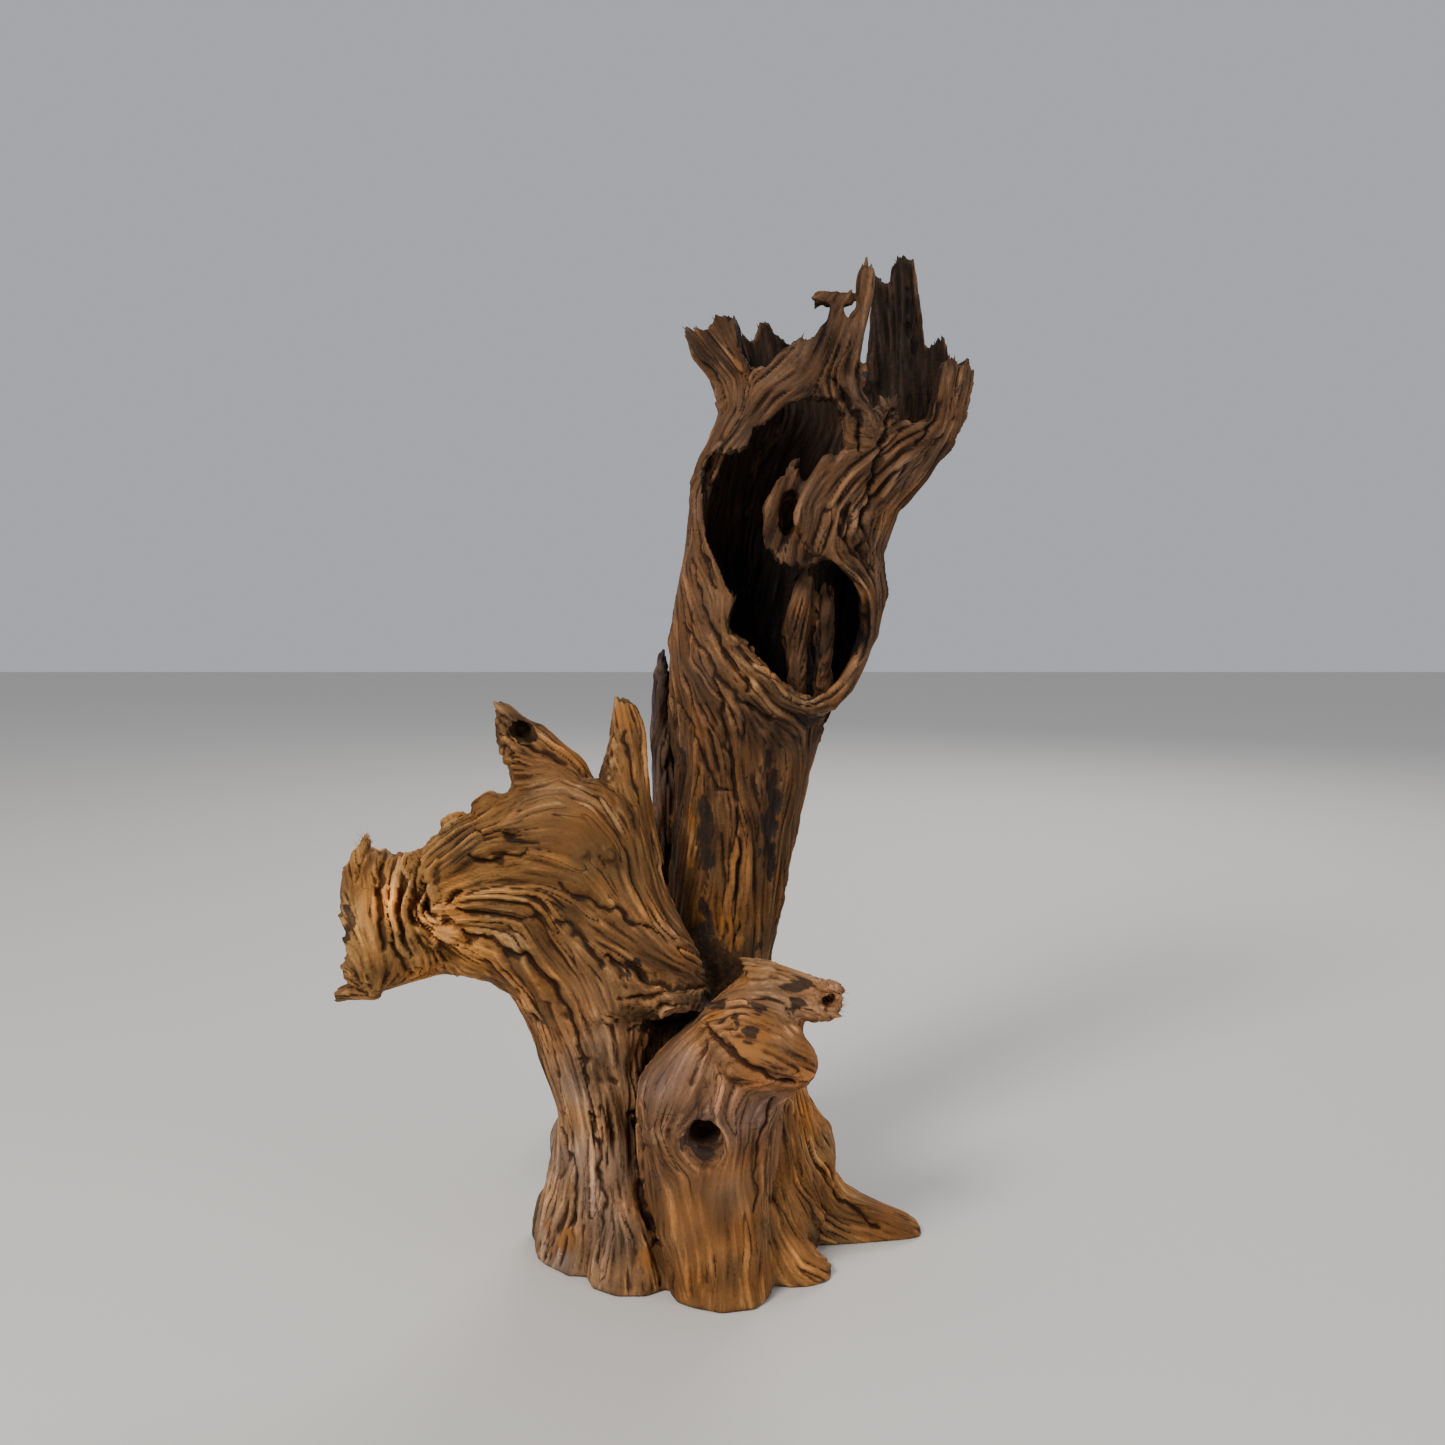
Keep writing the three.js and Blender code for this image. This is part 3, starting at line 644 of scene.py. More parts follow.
# What is drawn over the photograph, in its pixels, by the kind of mark
marks = {
    "cracks": {  # narrow and deep
        "reach": 3.0,
        "depth": 1.9,
        "lines": [
            [(460, 912), (485, 915), (512, 918), (537, 916), (550, 925), (558, 932)],
            [(560, 918), (575, 935), (594, 954), (604, 968)],
            [(561, 886), (583, 897), (597, 901), (611, 913), (627, 919), (644, 924), (660, 936)],
            [(390, 941), (402, 960), (410, 971)],
            [(425, 883), (427, 908), (434, 918), (441, 921), (455, 927)],
            [(445, 905), (457, 897), (466, 893)],
            [(474, 829), (496, 835), (517, 838), (537, 845)],
            [(468, 856), (490, 860), (517, 856), (528, 850)],
            [(672, 695), (683, 712), (697, 745), (711, 773), (718, 790), (733, 793)],
            [(713, 667), (723, 717), (734, 773), (735, 799), (741, 841), (740, 865)],
            [(690, 560), (700, 600), (712, 630), (730, 660), (752, 690)],
            [(697, 520), (700, 550), (712, 590)],
            [(776, 1098), (768, 1118), (761, 1140), (758, 1181), (755, 1213)],
            [(635, 1103), (638, 1142), (643, 1179), (638, 1197), (651, 1223), (666, 1257), (672, 1283)],
            [(897, 404), (886, 430), (880, 455), (868, 500)],
            [(829, 380), (850, 400), (862, 425), (860, 460)],
            [(905, 288), (908, 330), (912, 356)],
            [(770, 1195), (785, 1213), (800, 1237)],
            [(622, 1002), (645, 996), (675, 990), (708, 984)],
            [(629, 1030), (655, 1022), (680, 1020), (706, 1008)],
            [(640, 1016), (665, 1010), (690, 1000)],
            [(560, 1130), (575, 1180), (570, 1225)],
            [(590, 1110), (602, 1170), (604, 1220), (596, 1262)],
            [(800, 1120), (815, 1160), (840, 1200), (880, 1226)],
            [(520, 740), (545, 752), (570, 766)],
            [(625, 730), (630, 765), (640, 800)],
            [(405, 860), (398, 890), (402, 930), (412, 955)],
            [(418, 862), (413, 890), (417, 925)],
            [(385, 862), (380, 900), (384, 950)],
            [(690, 345), (712, 375), (722, 395)],
            [(735, 420), (712, 455), (700, 480)],
            [(940, 385), (935, 420), (915, 445)],
            [(965, 380), (955, 420), (925, 460), (902, 490)],
            [(850, 500), (845, 530), (860, 560)],
            [(875, 470), (862, 510), (858, 545), (872, 575)],
            [(685, 620), (700, 650), (730, 690), (770, 720)],
        ],
    },
    "splits": {  # the widest cracks
        "reach": 3.8,
        "depth": 2.8,
        "lines": [
            [(460, 937), (482, 938), (501, 947), (523, 957), (539, 971), (553, 987), (564, 1006),
             (572, 1023), (579, 1042), (583, 1069), (587, 1091)],
            [(606, 960), (619, 968), (630, 973), (644, 976), (657, 982), (677, 987)],
            [(703, 1024), (714, 1038), (729, 1053), (750, 1066), (771, 1077), (797, 1085)],
            [(637, 1160), (640, 1190), (652, 1225), (668, 1262), (675, 1300)],
        ],
    },
    "hollows": {  # wide and shallow
        "reach": 7.0,
        "depth": 1.6,
        "lines": [
            [(768, 750), (773, 785), (770, 827), (773, 880)],
            [(577, 1062), (600, 1072), (612, 1082)],
            [(690, 1085), (700, 1060), (706, 1040)],
            [(640, 1100), (640, 1150)],
            [(563, 1110), (566, 1150), (560, 1180)],
            [(704, 700), (712, 740)],
            [(520, 985), (545, 1030), (560, 1080)],
        ],
    },
    "ridges": {  # raised
        "reach": 5.0,
        "depth": -1.4,
        "lines": [
            [(640, 1138), (661, 1128), (682, 1125), (700, 1121), (706, 1110)],
            [(700, 1024), (712, 1026), (722, 1036), (742, 1048), (770, 1062), (800, 1075)],
            [(786, 1095), (800, 1120), (822, 1165), (832, 1190)],
            [(800, 1150), (812, 1195), (828, 1235)],
            [(581, 853), (585, 857)],
            [(608, 856), (612, 860)],
            [(436, 858), (428, 885), (432, 915), (440, 950)],
            [(404, 858), (398, 885), (402, 915), (412, 945)],
            [(468, 950), (500, 960), (528, 975), (548, 1000)],
            [(430, 925), (455, 940), (475, 948)],
            [(900, 468), (870, 520), (865, 545), (882, 571)],
            [(560, 1200), (556, 1230), (548, 1255)],
            [(600, 1180), (603, 1230), (600, 1270)],
            [(625, 1190), (640, 1240), (650, 1290)],
        ],
    },
}

# Places of another colour, drawn the same way; one of the char lines is painted shadow
stains = {
    "rust": {
        "reach": 6.5,
        "lines": [
            [(550, 1222), (552, 1255)], [(572, 1228), (566, 1250)], [(701, 918), (735, 928)],
            [(720, 940), (744, 935)], [(758, 1015), (770, 1022)], [(712, 1010), (716, 1020)],
            [(745, 965), (748, 985)], [(688, 800), (694, 870)], [(735, 1040), (765, 1050), (790, 1062)],
            [(800, 1035), (806, 1060)], [(765, 620), (764, 665)], [(842, 626), (852, 628)],
            [(640, 1255), (655, 1270)], [(590, 770), (560, 745)], [(620, 705), (628, 730)],
            [(800, 1110), (806, 1140)],
        ],
    },
    "char": {
        "reach": 6.0,
        "lines": [
            [(769, 752), (773, 785), (771, 827), (773, 878)], [(706, 902), (708, 950)],
            [(806, 716), (818, 722)], [(680, 750), (686, 768)], [(705, 795), (706, 870)],
            [(750, 1003), (762, 1006)], [(734, 1016), (741, 1017)], [(744, 1028), (758, 1030)],
            [(708, 1003), (722, 1006)], [(692, 1137), (716, 1137)], [(681, 1141), (697, 1150), (712, 1153)],
            [(704, 1150), (706, 1163)], [(628, 967), (636, 968)], [(780, 985), (815, 985)],
            # the last line here is painted shadow, in the gap between the curl and the end of the branch
            [(640, 1030), (700, 1012)], [(792, 1000), (800, 1012)], [(346, 905), (348, 940)],
            [(862, 375), (880, 392)],
        ],
    },
    "pale": {
        "reach": 5.0,
        "lines": [
            [(622, 1105), (624, 1130)], [(676, 800), (698, 870)], [(408, 862), (400, 890), (398, 930)],
            [(430, 880), (438, 925), (450, 945)], [(520, 795), (551, 790), (600, 800), (625, 830)],
            [(740, 655), (770, 682)], [(478, 905), (520, 900)], [(820, 700), (800, 706)],
            [(832, 995), (838, 1015)], [(760, 975), (800, 982)], [(845, 560), (880, 590)],
            [(725, 450), (745, 450)], [(820, 1120), (832, 1160)], [(465, 925), (500, 935), (530, 950)],
            [(640, 1115), (650, 1130), (690, 1122)], [(600, 725), (612, 780)],
        ],
    },
}

# How such a line lies on the skin
drawing = {
    "waves": (16.0, 7.0),  # it wanders
    "sizes": (1.1, 0.3),
    "seed": 60,
    "width": {"mean": 0.95, "varies": 0.28, "wave": 11.0, "seed": 69, "limits": (0.5, 1.6)},
    "ends": 0.3,  # share of its width at the ends
    "taper": 0.25,  # share of its length over which it narrows to each of them
    "facing": -0.1,  # it stops where the skin turns further away from the camera
    "fray": 0.12,  # how far the streaks break it up, away from its middle
    "frayed": (1.0, 0.3),
    "most": 1.5,
    "ragged": {"fine": 0.22, "middle": 0.12},  # the same for a stain
    "stained": (0.15, 0.75),
    "outside": 0.02,
}
meandering = sum(
    size * np.stack([noise(wave, drawing["seed"] + 3 * n + k).read(skin.points) for k in range(3)], axis=1)
    for n, (wave, size) in enumerate(zip(drawing["waves"], drawing["sizes"]))
)
width = drawing["width"]
widening = width["mean"] + width["varies"] * noise(width["wave"], width["seed"]).read(skin.points)
widening = np.clip(widening, *width["limits"])


def towardsCamera(points, normals):  # 1 where the skin faces it, and -1 where it is turned away
    return dot(unit(np.array(view["place"]) - points), normals)


def closeness(lines, reach):  # 1 on the lines, less towards their ends, and 0 at reach
    best = np.zeros(len(skin.points))
    for line in lines:
        path = traced(line)
        near = within(skin.points, path, reach)
        near = near[towardsCamera(skin.points[near], normals[near]) > drawing["facing"]]
        _, _, share, offset = nearestOn(path, skin.points[near] + meandering[near])
        n = normals[near]
        gap = np.linalg.norm(offset - dot(offset, n)[:, None] * n, axis=1)
        inward = np.sqrt(np.clip(np.minimum(share, 1 - share) / drawing["taper"], 0, 1))
        wide = reach * (drawing["ends"] + (1 - drawing["ends"]) * inward) * widening[near]
        best[near] = np.maximum(best[near], np.clip(1 - gap / wide, 0, 1))
    return best


# Painted shade: darker in crevices with much wood round them, and on the inside of the hollow
# trunk, where a surface faces the middle of the trunk, most of all low down in the hollow
shadow = {
    "crevice": (0.56, 0.8),  # share of wood in the wide count
    "facing": (0.1, 0.5),
    "foot": (252, 262),  # heights between which the painted shade inside the hollow begins
    "side": (-30, 0),  # and places from left to right
    "deep": (460, 330),  # heights
    "shallow": 0.85,
}
crevice = smoothStep(*shadow["crevice"], woodWide.read(skin.points))
trunkPath = np.array(limbs["trunk"]["path"])[:, :3]
_, _, _, outward = nearestOn(trunkPath, skin.points)
x, _, z = skin.points.T
hollowShade = smoothStep(*shadow["facing"], -dot(unit(outward * (1, 1, 0)), normals))
hollowShade = skin.softened(hollowShade * smoothStep(*shadow["foot"], z) * smoothStep(*shadow["side"], x), body["soften"])
deep = hollowShade * smoothStep(*shadow["deep"], z)

# The relief
relief = {
    "root_crown": {"coarse": 0.75, "middle": 0.35, "fine": 0.16, "crack": 0.8},
    "right_root": {"coarse": 0.75, "middle": 0.35, "fine": 0.16, "crack": 0.8},
    "hollow_trunk": {"coarse": 0.8, "middle": 0.45, "fine": 0.22, "crack": 1.1},
    "left_branch": {"coarse": 0.8, "middle": 0.5, "fine": 0.22, "crack": 1.2},
    "front_stub": {"coarse": 0.4, "middle": 0.25, "fine": 0.14, "crack": 0.7},
    "rear_spur": {"coarse": 1.2, "middle": 0.9, "fine": 0.3, "crack": 1.6},
}
rough = [  # places with a stronger relief: pixel, reach, how much more
    (395, 905, 24, 1.1), (440, 925, 18, 0.8), (760, 665, 22, 0.3), (850, 510, 24, 0.5),
    (615, 1125, 12, 1.2), (655, 1000, 18, 1.0), (832, 1005, 9, 1.5), (805, 620, 14, 1.3),
    (860, 400, 22, 0.8), (955, 410, 20, 0.7), (460, 840, 20, 0.8), (750, 1010, 14, 0.8),
    (700, 1200, 24, -0.5), (660, 1090, 18, -0.4), (600, 850, 20, -0.6), (565, 830, 16, -0.5),
    (740, 1180, 18, -0.4), (831, 298, 5, -0.9),
]
pits = [  # rotted ends: pixel or place, reach, depth
    (-147, -38, 172, 11, 6.0), (512, 720, 4, 1.5), (522, 730, 5, 2.5), (533, 739, 4, 1.5),
]
polished = [  # places worn smooth: pixel, reach, how smooth
    (600, 850, 20, 1), (570, 830, 14, 0.7), (700, 1220, 24, 0.7), (740, 1180, 18, 0.6),
    (665, 1085, 14, 0.6), (755, 1040, 10, 0.4),
]
furrows = {
    "ease": {"coarse": 0.3, "middle": 0.35},  # how round their bottoms are
    "level": 0.9,  # of the middle, between ridge and furrow
    "places": (-0.6, 1.2),
    "middle": (0.4, 0.9),  # strength, and how much more in some places
    "fine": (0.5, 0.8),
    "seam": 0.55,  # width of the crack in a furrow's bottom
    "seamPlaces": (0.5, 1.4),
    "seamShare": 0.7,
    "thin": 0.5,  # how much weaker on thin wood
    "across": (0.5, 0.85),  # where the skin cuts across the grain
    "acrossSoften": 4,
    "cut": 0.92,  # how much weaker there
    "smoothest": -0.9,
    "foot": (0.3, 5),  # heights between which the relief sets in
    "around": 10,  # rounds, for the level round a cavity
    "deep": 0.8,  # depth at which a cavity's painted shade is darkest
}


def perLimb(key):
    return owner @ np.array([relief[name][key] for name in nodeNames])


def rounded(name):  # the size of a streak, with a round bottom instead of a sharp one
    x, ease = streak[name], furrows["ease"][name]
    return np.sqrt(x * x + ease * ease)


def uneven(name):  # stronger in some places
    least, more = furrows[name]
    return least + more * places


places = smoothStep(*furrows["places"], streak["places"])
seamPlaces = smoothStep(*furrows["seamPlaces"], streak["coarse"] + furrows["seamShare"] * places)
height = perLimb("coarse") * (rounded("coarse") - furrows["level"])
height += perLimb("middle") * (rounded("middle") - furrows["level"]) * uneven("middle")
height += perLimb("fine") * streak["fine"] * uneven("fine")
height -= perLimb("crack") * (np.exp(-((streak["middle"] / furrows["seam"]) ** 2)) * seamPlaces)
drawn = {}
for name, mark in marks.items():
    near = closeness(mark["lines"], mark["reach"])
    fray = 1 + drawing["fray"] * streak["fine"] * smoothStep(*drawing["frayed"], near)
    drawn[name] = near * np.clip(fray, 0, drawing["most"])
    height -= mark["depth"] * smoothStep(0, 1, drawn[name])
across = dot(along, normals)  # 1 or -1 where the skin cuts straight across the grain
cut = skin.softened(smoothStep(*furrows["across"], np.abs(across)), furrows["acrossSoften"])
rougher = np.maximum(spotted(rough), furrows["smoothest"])
height *= (1 - furrows["thin"] * thin) * (1 + rougher * (1 - cut)) * (1 - furrows["cut"] * cut)
height -= spotted(pits)
height *= smoothStep(*furrows["foot"], skin.points[:, 2])

# Broken ends: each bundle of fibres stops at a height of its own
broken = {
    "across": (0.3, 0.7),
    "soften": 2,
    "foot": (20, 60),  # heights between which they begin
    "whole": [(831, 298, 7, 1)],  # none here: pixel, reach, share
    "fine": 1.5,
    "middle": 1.3,
    "limits": (-3.0, 4.5),
}
outwards = np.sign(across)[:, None] * along
ends = skin.softened(thin * smoothStep(*broken["across"], np.abs(across)), broken["soften"])
ends *= smoothStep(*broken["foot"], skin.points[:, 2])
ends *= 1 - np.minimum(spotted(broken["whole"]), 1)
splintered = broken["fine"] * streak["fine"] + broken["middle"] * streak["middle"]
splintered = np.clip(splintered, *broken["limits"])
skin.points += normals * height[:, None] + outwards * (ends * splintered)[:, None]
skin.points[:, 2] = np.maximum(skin.points[:, 2], 0)
# painted shade in the furrows: darker where the skin lies below its smoothed surroundings
cavityShade = np.clip((skin.softened(height, furrows["around"]) - height) / furrows["deep"], 0, 1)
normals = skin.normals()
report("relief")

# Stains that aren't drawn, weaker where the photograph shows the wood
wild = {
    "wave": 34.0,
    "seed": 51,
    "middle": 0.5,
    "stains": {"char": (1.5, 2.3, 0.8), "rust": (-1.6, -2.4, 0.7)},  # from, full at, strength
    "behind": (0.2, -0.4),
    "front": 0.35,
}
ragged = drawing["ragged"]["fine"] * streak["fine"] + drawing["ragged"]["middle"] * streak["middle"]
stain = {}
for name, mark in stains.items():
    near = closeness(mark["lines"], mark["reach"])
    stain[name] = smoothStep(*drawing["stained"], near + ragged * (near > drawing["outside"]))
spread = noise(wild["wave"], wild["seed"]).read(skin.points) + wild["middle"] * streak["middle"]
behind = smoothStep(*wild["behind"], towardsCamera(skin.points, normals))
for name, (start, full, strength) in wild["stains"].items():
    amount = strength * smoothStep(start, full, spread) * (wild["front"] + (1 - wild["front"]) * behind)
    stain[name] = np.maximum(stain[name], amount)
report("marks and stains")

# Lighter and darker places: pixel, reach, and how much, as a power of e. Some are the wood's
# own tone; many of the darker ones are painted shade, under the lip and round the rim of the
# hollow, over the top of the trunk, in pockets, and on the knobs at the top left of the branch
toneAndShadeSpots = [
    (780, 725, 16, -0.85), (700, 680, 12, -0.2), (800, 560, 12, -0.6), (785, 520, 12, -0.9),
    (800, 640, 10, -0.3), (850, 400, 14, -0.4), (835, 350, 14, -0.5), (900, 320, 18, -0.3),
    (705, 350, 14, -0.35), (960, 400, 14, 0.3), (425, 900, 16, 0.3), (385, 900, 14, 0.3),
    (455, 925, 14, 0.3), (600, 835, 20, -0.25), (540, 830, 20, -0.2), (650, 960, 18, -0.2),
    (800, 1130, 16, 0.3), (840, 1190, 14, 0.25), (825, 1000, 8, 0.3), (590, 1075, 12, -0.5),
    (635, 1120, 7, -0.8), (660, 1015, 14, -0.3), (560, 1150, 10, -0.3), (625, 1240, 8, -0.6),
    (660, 1260, 8, -0.4), (450, 860, 10, -0.5), (480, 820, 8, -0.3), (700, 1075, 9, 0.15),
    (730, 960, 12, -0.6), (690, 930, 10, -0.4), (520, 735, 10, -0.3), (760, 1085, 8, 0.1),
    (740, 1060, 8, 0.2), (575, 905, 5, -0.6), (443, 885, 6, -0.5), (760, 420, 6, -0.7), (785, 402, 6, -0.8),
    (808, 394, 6, -0.7), (828, 388, 5, -0.5), (745, 432, 5, -0.6), (826, 1000, 3.5, -2.0),
    (520, 728, 6, -0.8), (590, 800, 8, 0.3), (545, 793, 7, 0.35), (625, 825, 7, 0.25), (590, 1150, 16, 0.2),
    (570, 1000, 14, 0.3), (600, 1180, 14, 0.05), (815, 1150, 14, 0.2), (770, 540, 6, -0.6),
    (795, 490, 5, -0.8), (895, 1225, 12, -0.3), (825, 1195, 8, -0.7), (845, 1215, 10, -0.4),
    (-147, -38, 172, 22, -0.9), (345, 995, 8, -0.5), (354, 872, 9, -0.35), (430, 855, 7, -0.5),
    (462, 824, 7, -0.4), (514, 721, 5, -0.7), (530, 737, 5, -0.7), (797, 620, 7, -0.6), (825, 625, 7, -0.6),
    (600, 840, 18, -0.2), (650, 1024, 7, 0.7), (810, 1120, 12, 0.45), (835, 340, 8, -0.6),
    (705, 350, 12, -0.25), (955, 410, 12, 0.15), (395, 905, 14, 0.5), (540, 750, 12, 0.2),
    (625, 740, 10, 0.15), (575, 1030, 14, 0.2), (690, 960, 14, 0.2), (655, 1000, 8, 0.4),
    (690, 830, 7, 0.3),
]
toned = {
    "limits": (-1.6, 0.8),
    "cut": -0.9,  # across the grain
    "spur": (0.0, 0.1, 0.4),  # the old wood is greyer
}
mottle = {"wave": 26.0, "seed": 71, "strength": 0.16, "coarse": 0.7}
blush = {"wave": 1.3 * mottle["wave"], "seed": 72, "tint": (-0.03, 0.03, 0.14)}
toneAndPaintedLight = woodAndPaintedLight.read(skin.points) * np.exp(np.clip(spotted(toneAndShadeSpots), *toned["limits"]))[:, None]
toneAndPaintedLight *= np.exp(toned["cut"] * cut)[:, None]
toneAndPaintedLight *= 1 + owner[:, [nodeNames.index("rear_spur")]] * toned["spur"]
patch = noise(mottle["wave"], mottle["seed"]).read(skin.points) + mottle["coarse"] * streak["coarse"]
toneAndPaintedLight *= np.exp(mottle["strength"] * patch)[:, None]
toneAndPaintedLight *= np.exp(noise(blush["wave"], blush["seed"]).read(skin.points)[:, None] * blush["tint"])


# The finish: a socket's value, reckoned with as a number is
class Socket:
    def __init__(self, tree, output):
        self.tree, self.output = tree, output

    def node(self, kind, settings, *inputs):
        return addNode(self.tree, kind, settings, *inputs)

    def maths(self, operation, *values):
        return self.node("ShaderNodeMath", {"operation": operation}, *values)

    def __add__(self, other):
        return self.maths("ADD", self, other)

    def __sub__(self, other):
        return self.maths("SUBTRACT", self, other)

    def __mul__(self, other):
        return self.maths("MULTIPLY", self, other)

    def __rsub__(self, other):
        return self.maths("SUBTRACT", other, self)

    __radd__ = __add__
    __rmul__ = __mul__

    def between(self, low, high):  # 0 at low and 1 at high
        settings = {"interpolation_type": "SMOOTHSTEP"}
        return self.node("ShaderNodeMapRange", settings, self, low, high)


def addNode(tree, kind, settings, *inputs, output=0):
    node = tree.nodes.new(kind)
    for key, value in settings.items():
        setattr(node, key, value)
    for place, value in enumerate(inputs):
        if isinstance(value, Socket):
            tree.links.new(value.output, node.inputs[place])
        elif value is not None:
            node.inputs[place].default_value = value
    return Socket(tree, node.outputs[output])


def mixColour(factor, first, second):
    tree = factor.tree
    node = tree.nodes.new("ShaderNodeMix")
    node.data_type = "RGBA"
    colours = [s for s in node.inputs if s.type == "RGBA"]
    tree.links.new(factor.output, node.inputs[0])
    for socket, value in zip(colours, (first, second)):
        if isinstance(value, Socket):
            tree.links.new(value.output, socket)
        else:
            socket.default_value = (*value, 1)
    return Socket(tree, [s for s in node.outputs if s.type == "RGBA"][0])


def scaled(colour, factors):  # a colour, made darker or lighter channel by channel
    return colour.node("ShaderNodeVectorMath", {"operation": "MULTIPLY"}, colour, factors)


finish = {
    "tints": {  # shares of the wood's own colour
        "dark": (0.2, 0.16, 0.14),
        "light": (2.3, 2.25, 2.1),
        # the next two are painted shade, in crevices and in furrows
        "crevice": (0.3, 0.25, 0.22),
        "furrowShade": (0.13, 0.09, 0.07),
        "check": (0.16, 0.12, 0.1),
        "crack": (0.08, 0.06, 0.05),
        # painted shade inside the hollow trunk
        "hollowShade": (0.04, 0.026, 0.018),
    },
    "rust": (0.27, 0.1, 0.016),
    # near black, for charred stains and for painted shadow
    "char": (0.017, 0.010, 0.007),
    "pale": (0.42, 0.26, 0.12),
    "strengths": {
        "rust": 0.85, "pale": 0.6, "char": 0.9, "crevice": 0.85, "furrowShade": 0.85, "crack": 0.85, "seam": 0.7,
    },
    "edges": {  # where each of them begins, and where it is full
        "dark": (0.0, 0.5), "light": (0.5, 1.05), "rust": (0.1, 0.8), "pale": (0.3, 1.0),
        "char": (0.15, 0.9), "furrowShade": (0.05, 0.8), "check": (-0.5, -1.0), "crack": (0.7, 0.95),
        "seam": (0.08, 0.0),
    },
    "thread": {"wave": 0.9, "samples": 6, "gap": 0.5},  # the finest threads of the wood
    "fibre": {"wave": 1.9, "samples": 6, "gap": 1.0},
    "specks": (700.0, 3.0, 0.6),  # scale, detail and roughness of their noise
    "gain": 2.4,  # lifts noise again that averaging has flattened
    "streaks": {"coarse": 0.05, "middle": 0.09, "fine": 0.1, "thread": 0.24, "fibre": 0.24, "specks": 0.4},
    "plain": 0.52,  # the value between streaks
    "polish": 0.45,  # how much weaker the streaks are on worn wood
    "checks": (0.8, 0.6),  # strength of the fine checks, and how much weaker they are there
    "stray": {"crack": 0.05, "seam": 0.03, "char": 0.25},  # how far the fibres break up an edge
    "matt": {"least": 0.62, "more": 0.25, "edge": (0.9, 0.2)},
    "specular": 0.2,
    "bump": 0.55,
    "bumpDepth": 0.7,
    "bumps": {"thread": 0.4, "fibre": 0.6, "specks": 0.5},
}


def drawnNoise(tree, place, along, wave, samples, gap):  # noise, averaged along the grain
    total = 0
    for k in range(-samples, samples + 1):
        shift = (k * gap * mm,) * 3
        at = addNode(tree, "ShaderNodeVectorMath", {"operation": "MULTIPLY_ADD"}, along, shift, place)
        total = total + addNode(tree, "ShaderNodeTexNoise", {}, at, None, 1 / (wave * mm), 1.0, 0.5)
    count = 2 * samples + 1
    return (total * (1 / count) - 0.5) * math.sqrt(count * gap / wave) * finish["gain"]


def woodMaterial(name):
    material = bpy.data.materials.new(name)
    material.use_nodes = True
    tree = material.node_tree
    shader = tree.nodes["Principled BSDF"]
    shader.inputs["Specular IOR Level"].default_value = finish["specular"]

    def attribute(name, output=1):
        return addNode(tree, "ShaderNodeAttribute", {"attribute_name": name}, output=output)

    def parts(vector):
        node = tree.nodes.new("ShaderNodeSeparateXYZ")
        tree.links.new(vector.output, node.inputs[0])
        return [Socket(tree, output) for output in node.outputs]

    place = addNode(tree, "ShaderNodeTexCoord", {}, output=3)
    along = attribute("along")
    coarse, middle, seam = parts(attribute("streak"))
    cavityShading, hollowShade, crack = parts(attribute("surface"))
    rust, char, pale = parts(attribute("stain"))
    fine, crevice, smooth = parts(attribute("detail"))
    wood = attribute("wood", 0)
    thread = drawnNoise(tree, place, along, **finish["thread"])
    fibre = drawnNoise(tree, place, along, **finish["fibre"])
    specks = addNode(tree, "ShaderNodeTexNoise", {}, place, None, *finish["specks"])
    layers = {
        "coarse": coarse, "middle": middle, "fine": fine, "thread": thread, "fibre": fibre,
        "specks": specks - 0.5,
    }
    streaky = sum(share * layers[name] for name, share in finish["streaks"].items())
    value = finish["plain"] + streaky * (1 - finish["polish"] * smooth)
    stray = finish["stray"]
    masks = {
        "dark": value, "light": value, "rust": value, "pale": value, "furrowShade": cavityShading, "check": fibre,
        "crack": crack + stray["crack"] * thread + stray["crack"] * fibre,
        "seam": middle * middle + stray["seam"] * fibre,
        "char": char + stray["char"] * fibre * char,
    }
    edge = {name: mask.between(*finish["edges"][name]) for name, mask in masks.items()}
    tint, strength = finish["tints"], finish["strengths"]
    checks, weaker = finish["checks"]
    colour = mixColour(edge["dark"], scaled(wood, tint["dark"]), wood)
    colour = mixColour(edge["light"], colour, scaled(wood, tint["light"]))
    colour = mixColour(rust * edge["rust"] * strength["rust"], colour, finish["rust"])
    colour = mixColour(pale * edge["pale"] * strength["pale"], colour, finish["pale"])
    # painted shade in crevices
    colour = mixColour(crevice * strength["crevice"], colour, scaled(colour, tint["crevice"]))
    # painted shade in furrows
    colour = mixColour(edge["furrowShade"] * strength["furrowShade"], colour, scaled(wood, tint["furrowShade"]))
    colour = mixColour(edge["check"] * (checks - weaker * smooth), colour, scaled(wood, tint["check"]))
    colour = mixColour(edge["crack"] * strength["crack"], colour, scaled(wood, tint["crack"]))
    colour = mixColour(seam * edge["seam"] * strength["seam"], colour, scaled(wood, tint["crack"]))
    # charred stains, and painted shadow where a char line lies in the gap by the curl
    colour = mixColour(edge["char"] * strength["char"], colour, finish["char"])
    # painted shade inside the hollow trunk
    colour = mixColour(hollowShade, colour, scaled(colour, tint["hollowShade"]))
    tree.links.new(colour.output, shader.inputs["Base Color"])
    matt = finish["matt"]
    roughness = matt["least"] + matt["more"] * value.between(*matt["edge"])
    tree.links.new(roughness.output, shader.inputs["Roughness"])
    bump = tree.nodes.new("ShaderNodeBump")
    bump.inputs["Strength"].default_value = finish["bump"]
    bump.inputs["Distance"].default_value = finish["bumpDepth"] * mm
    share = finish["bumps"]
    bumps = thread * share["thread"] + fibre * share["fibre"] + specks * share["specks"]
    tree.links.new(bumps.output, bump.inputs["Height"])
    tree.links.new(bump.outputs[0], shader.inputs["Normal"])
    return material


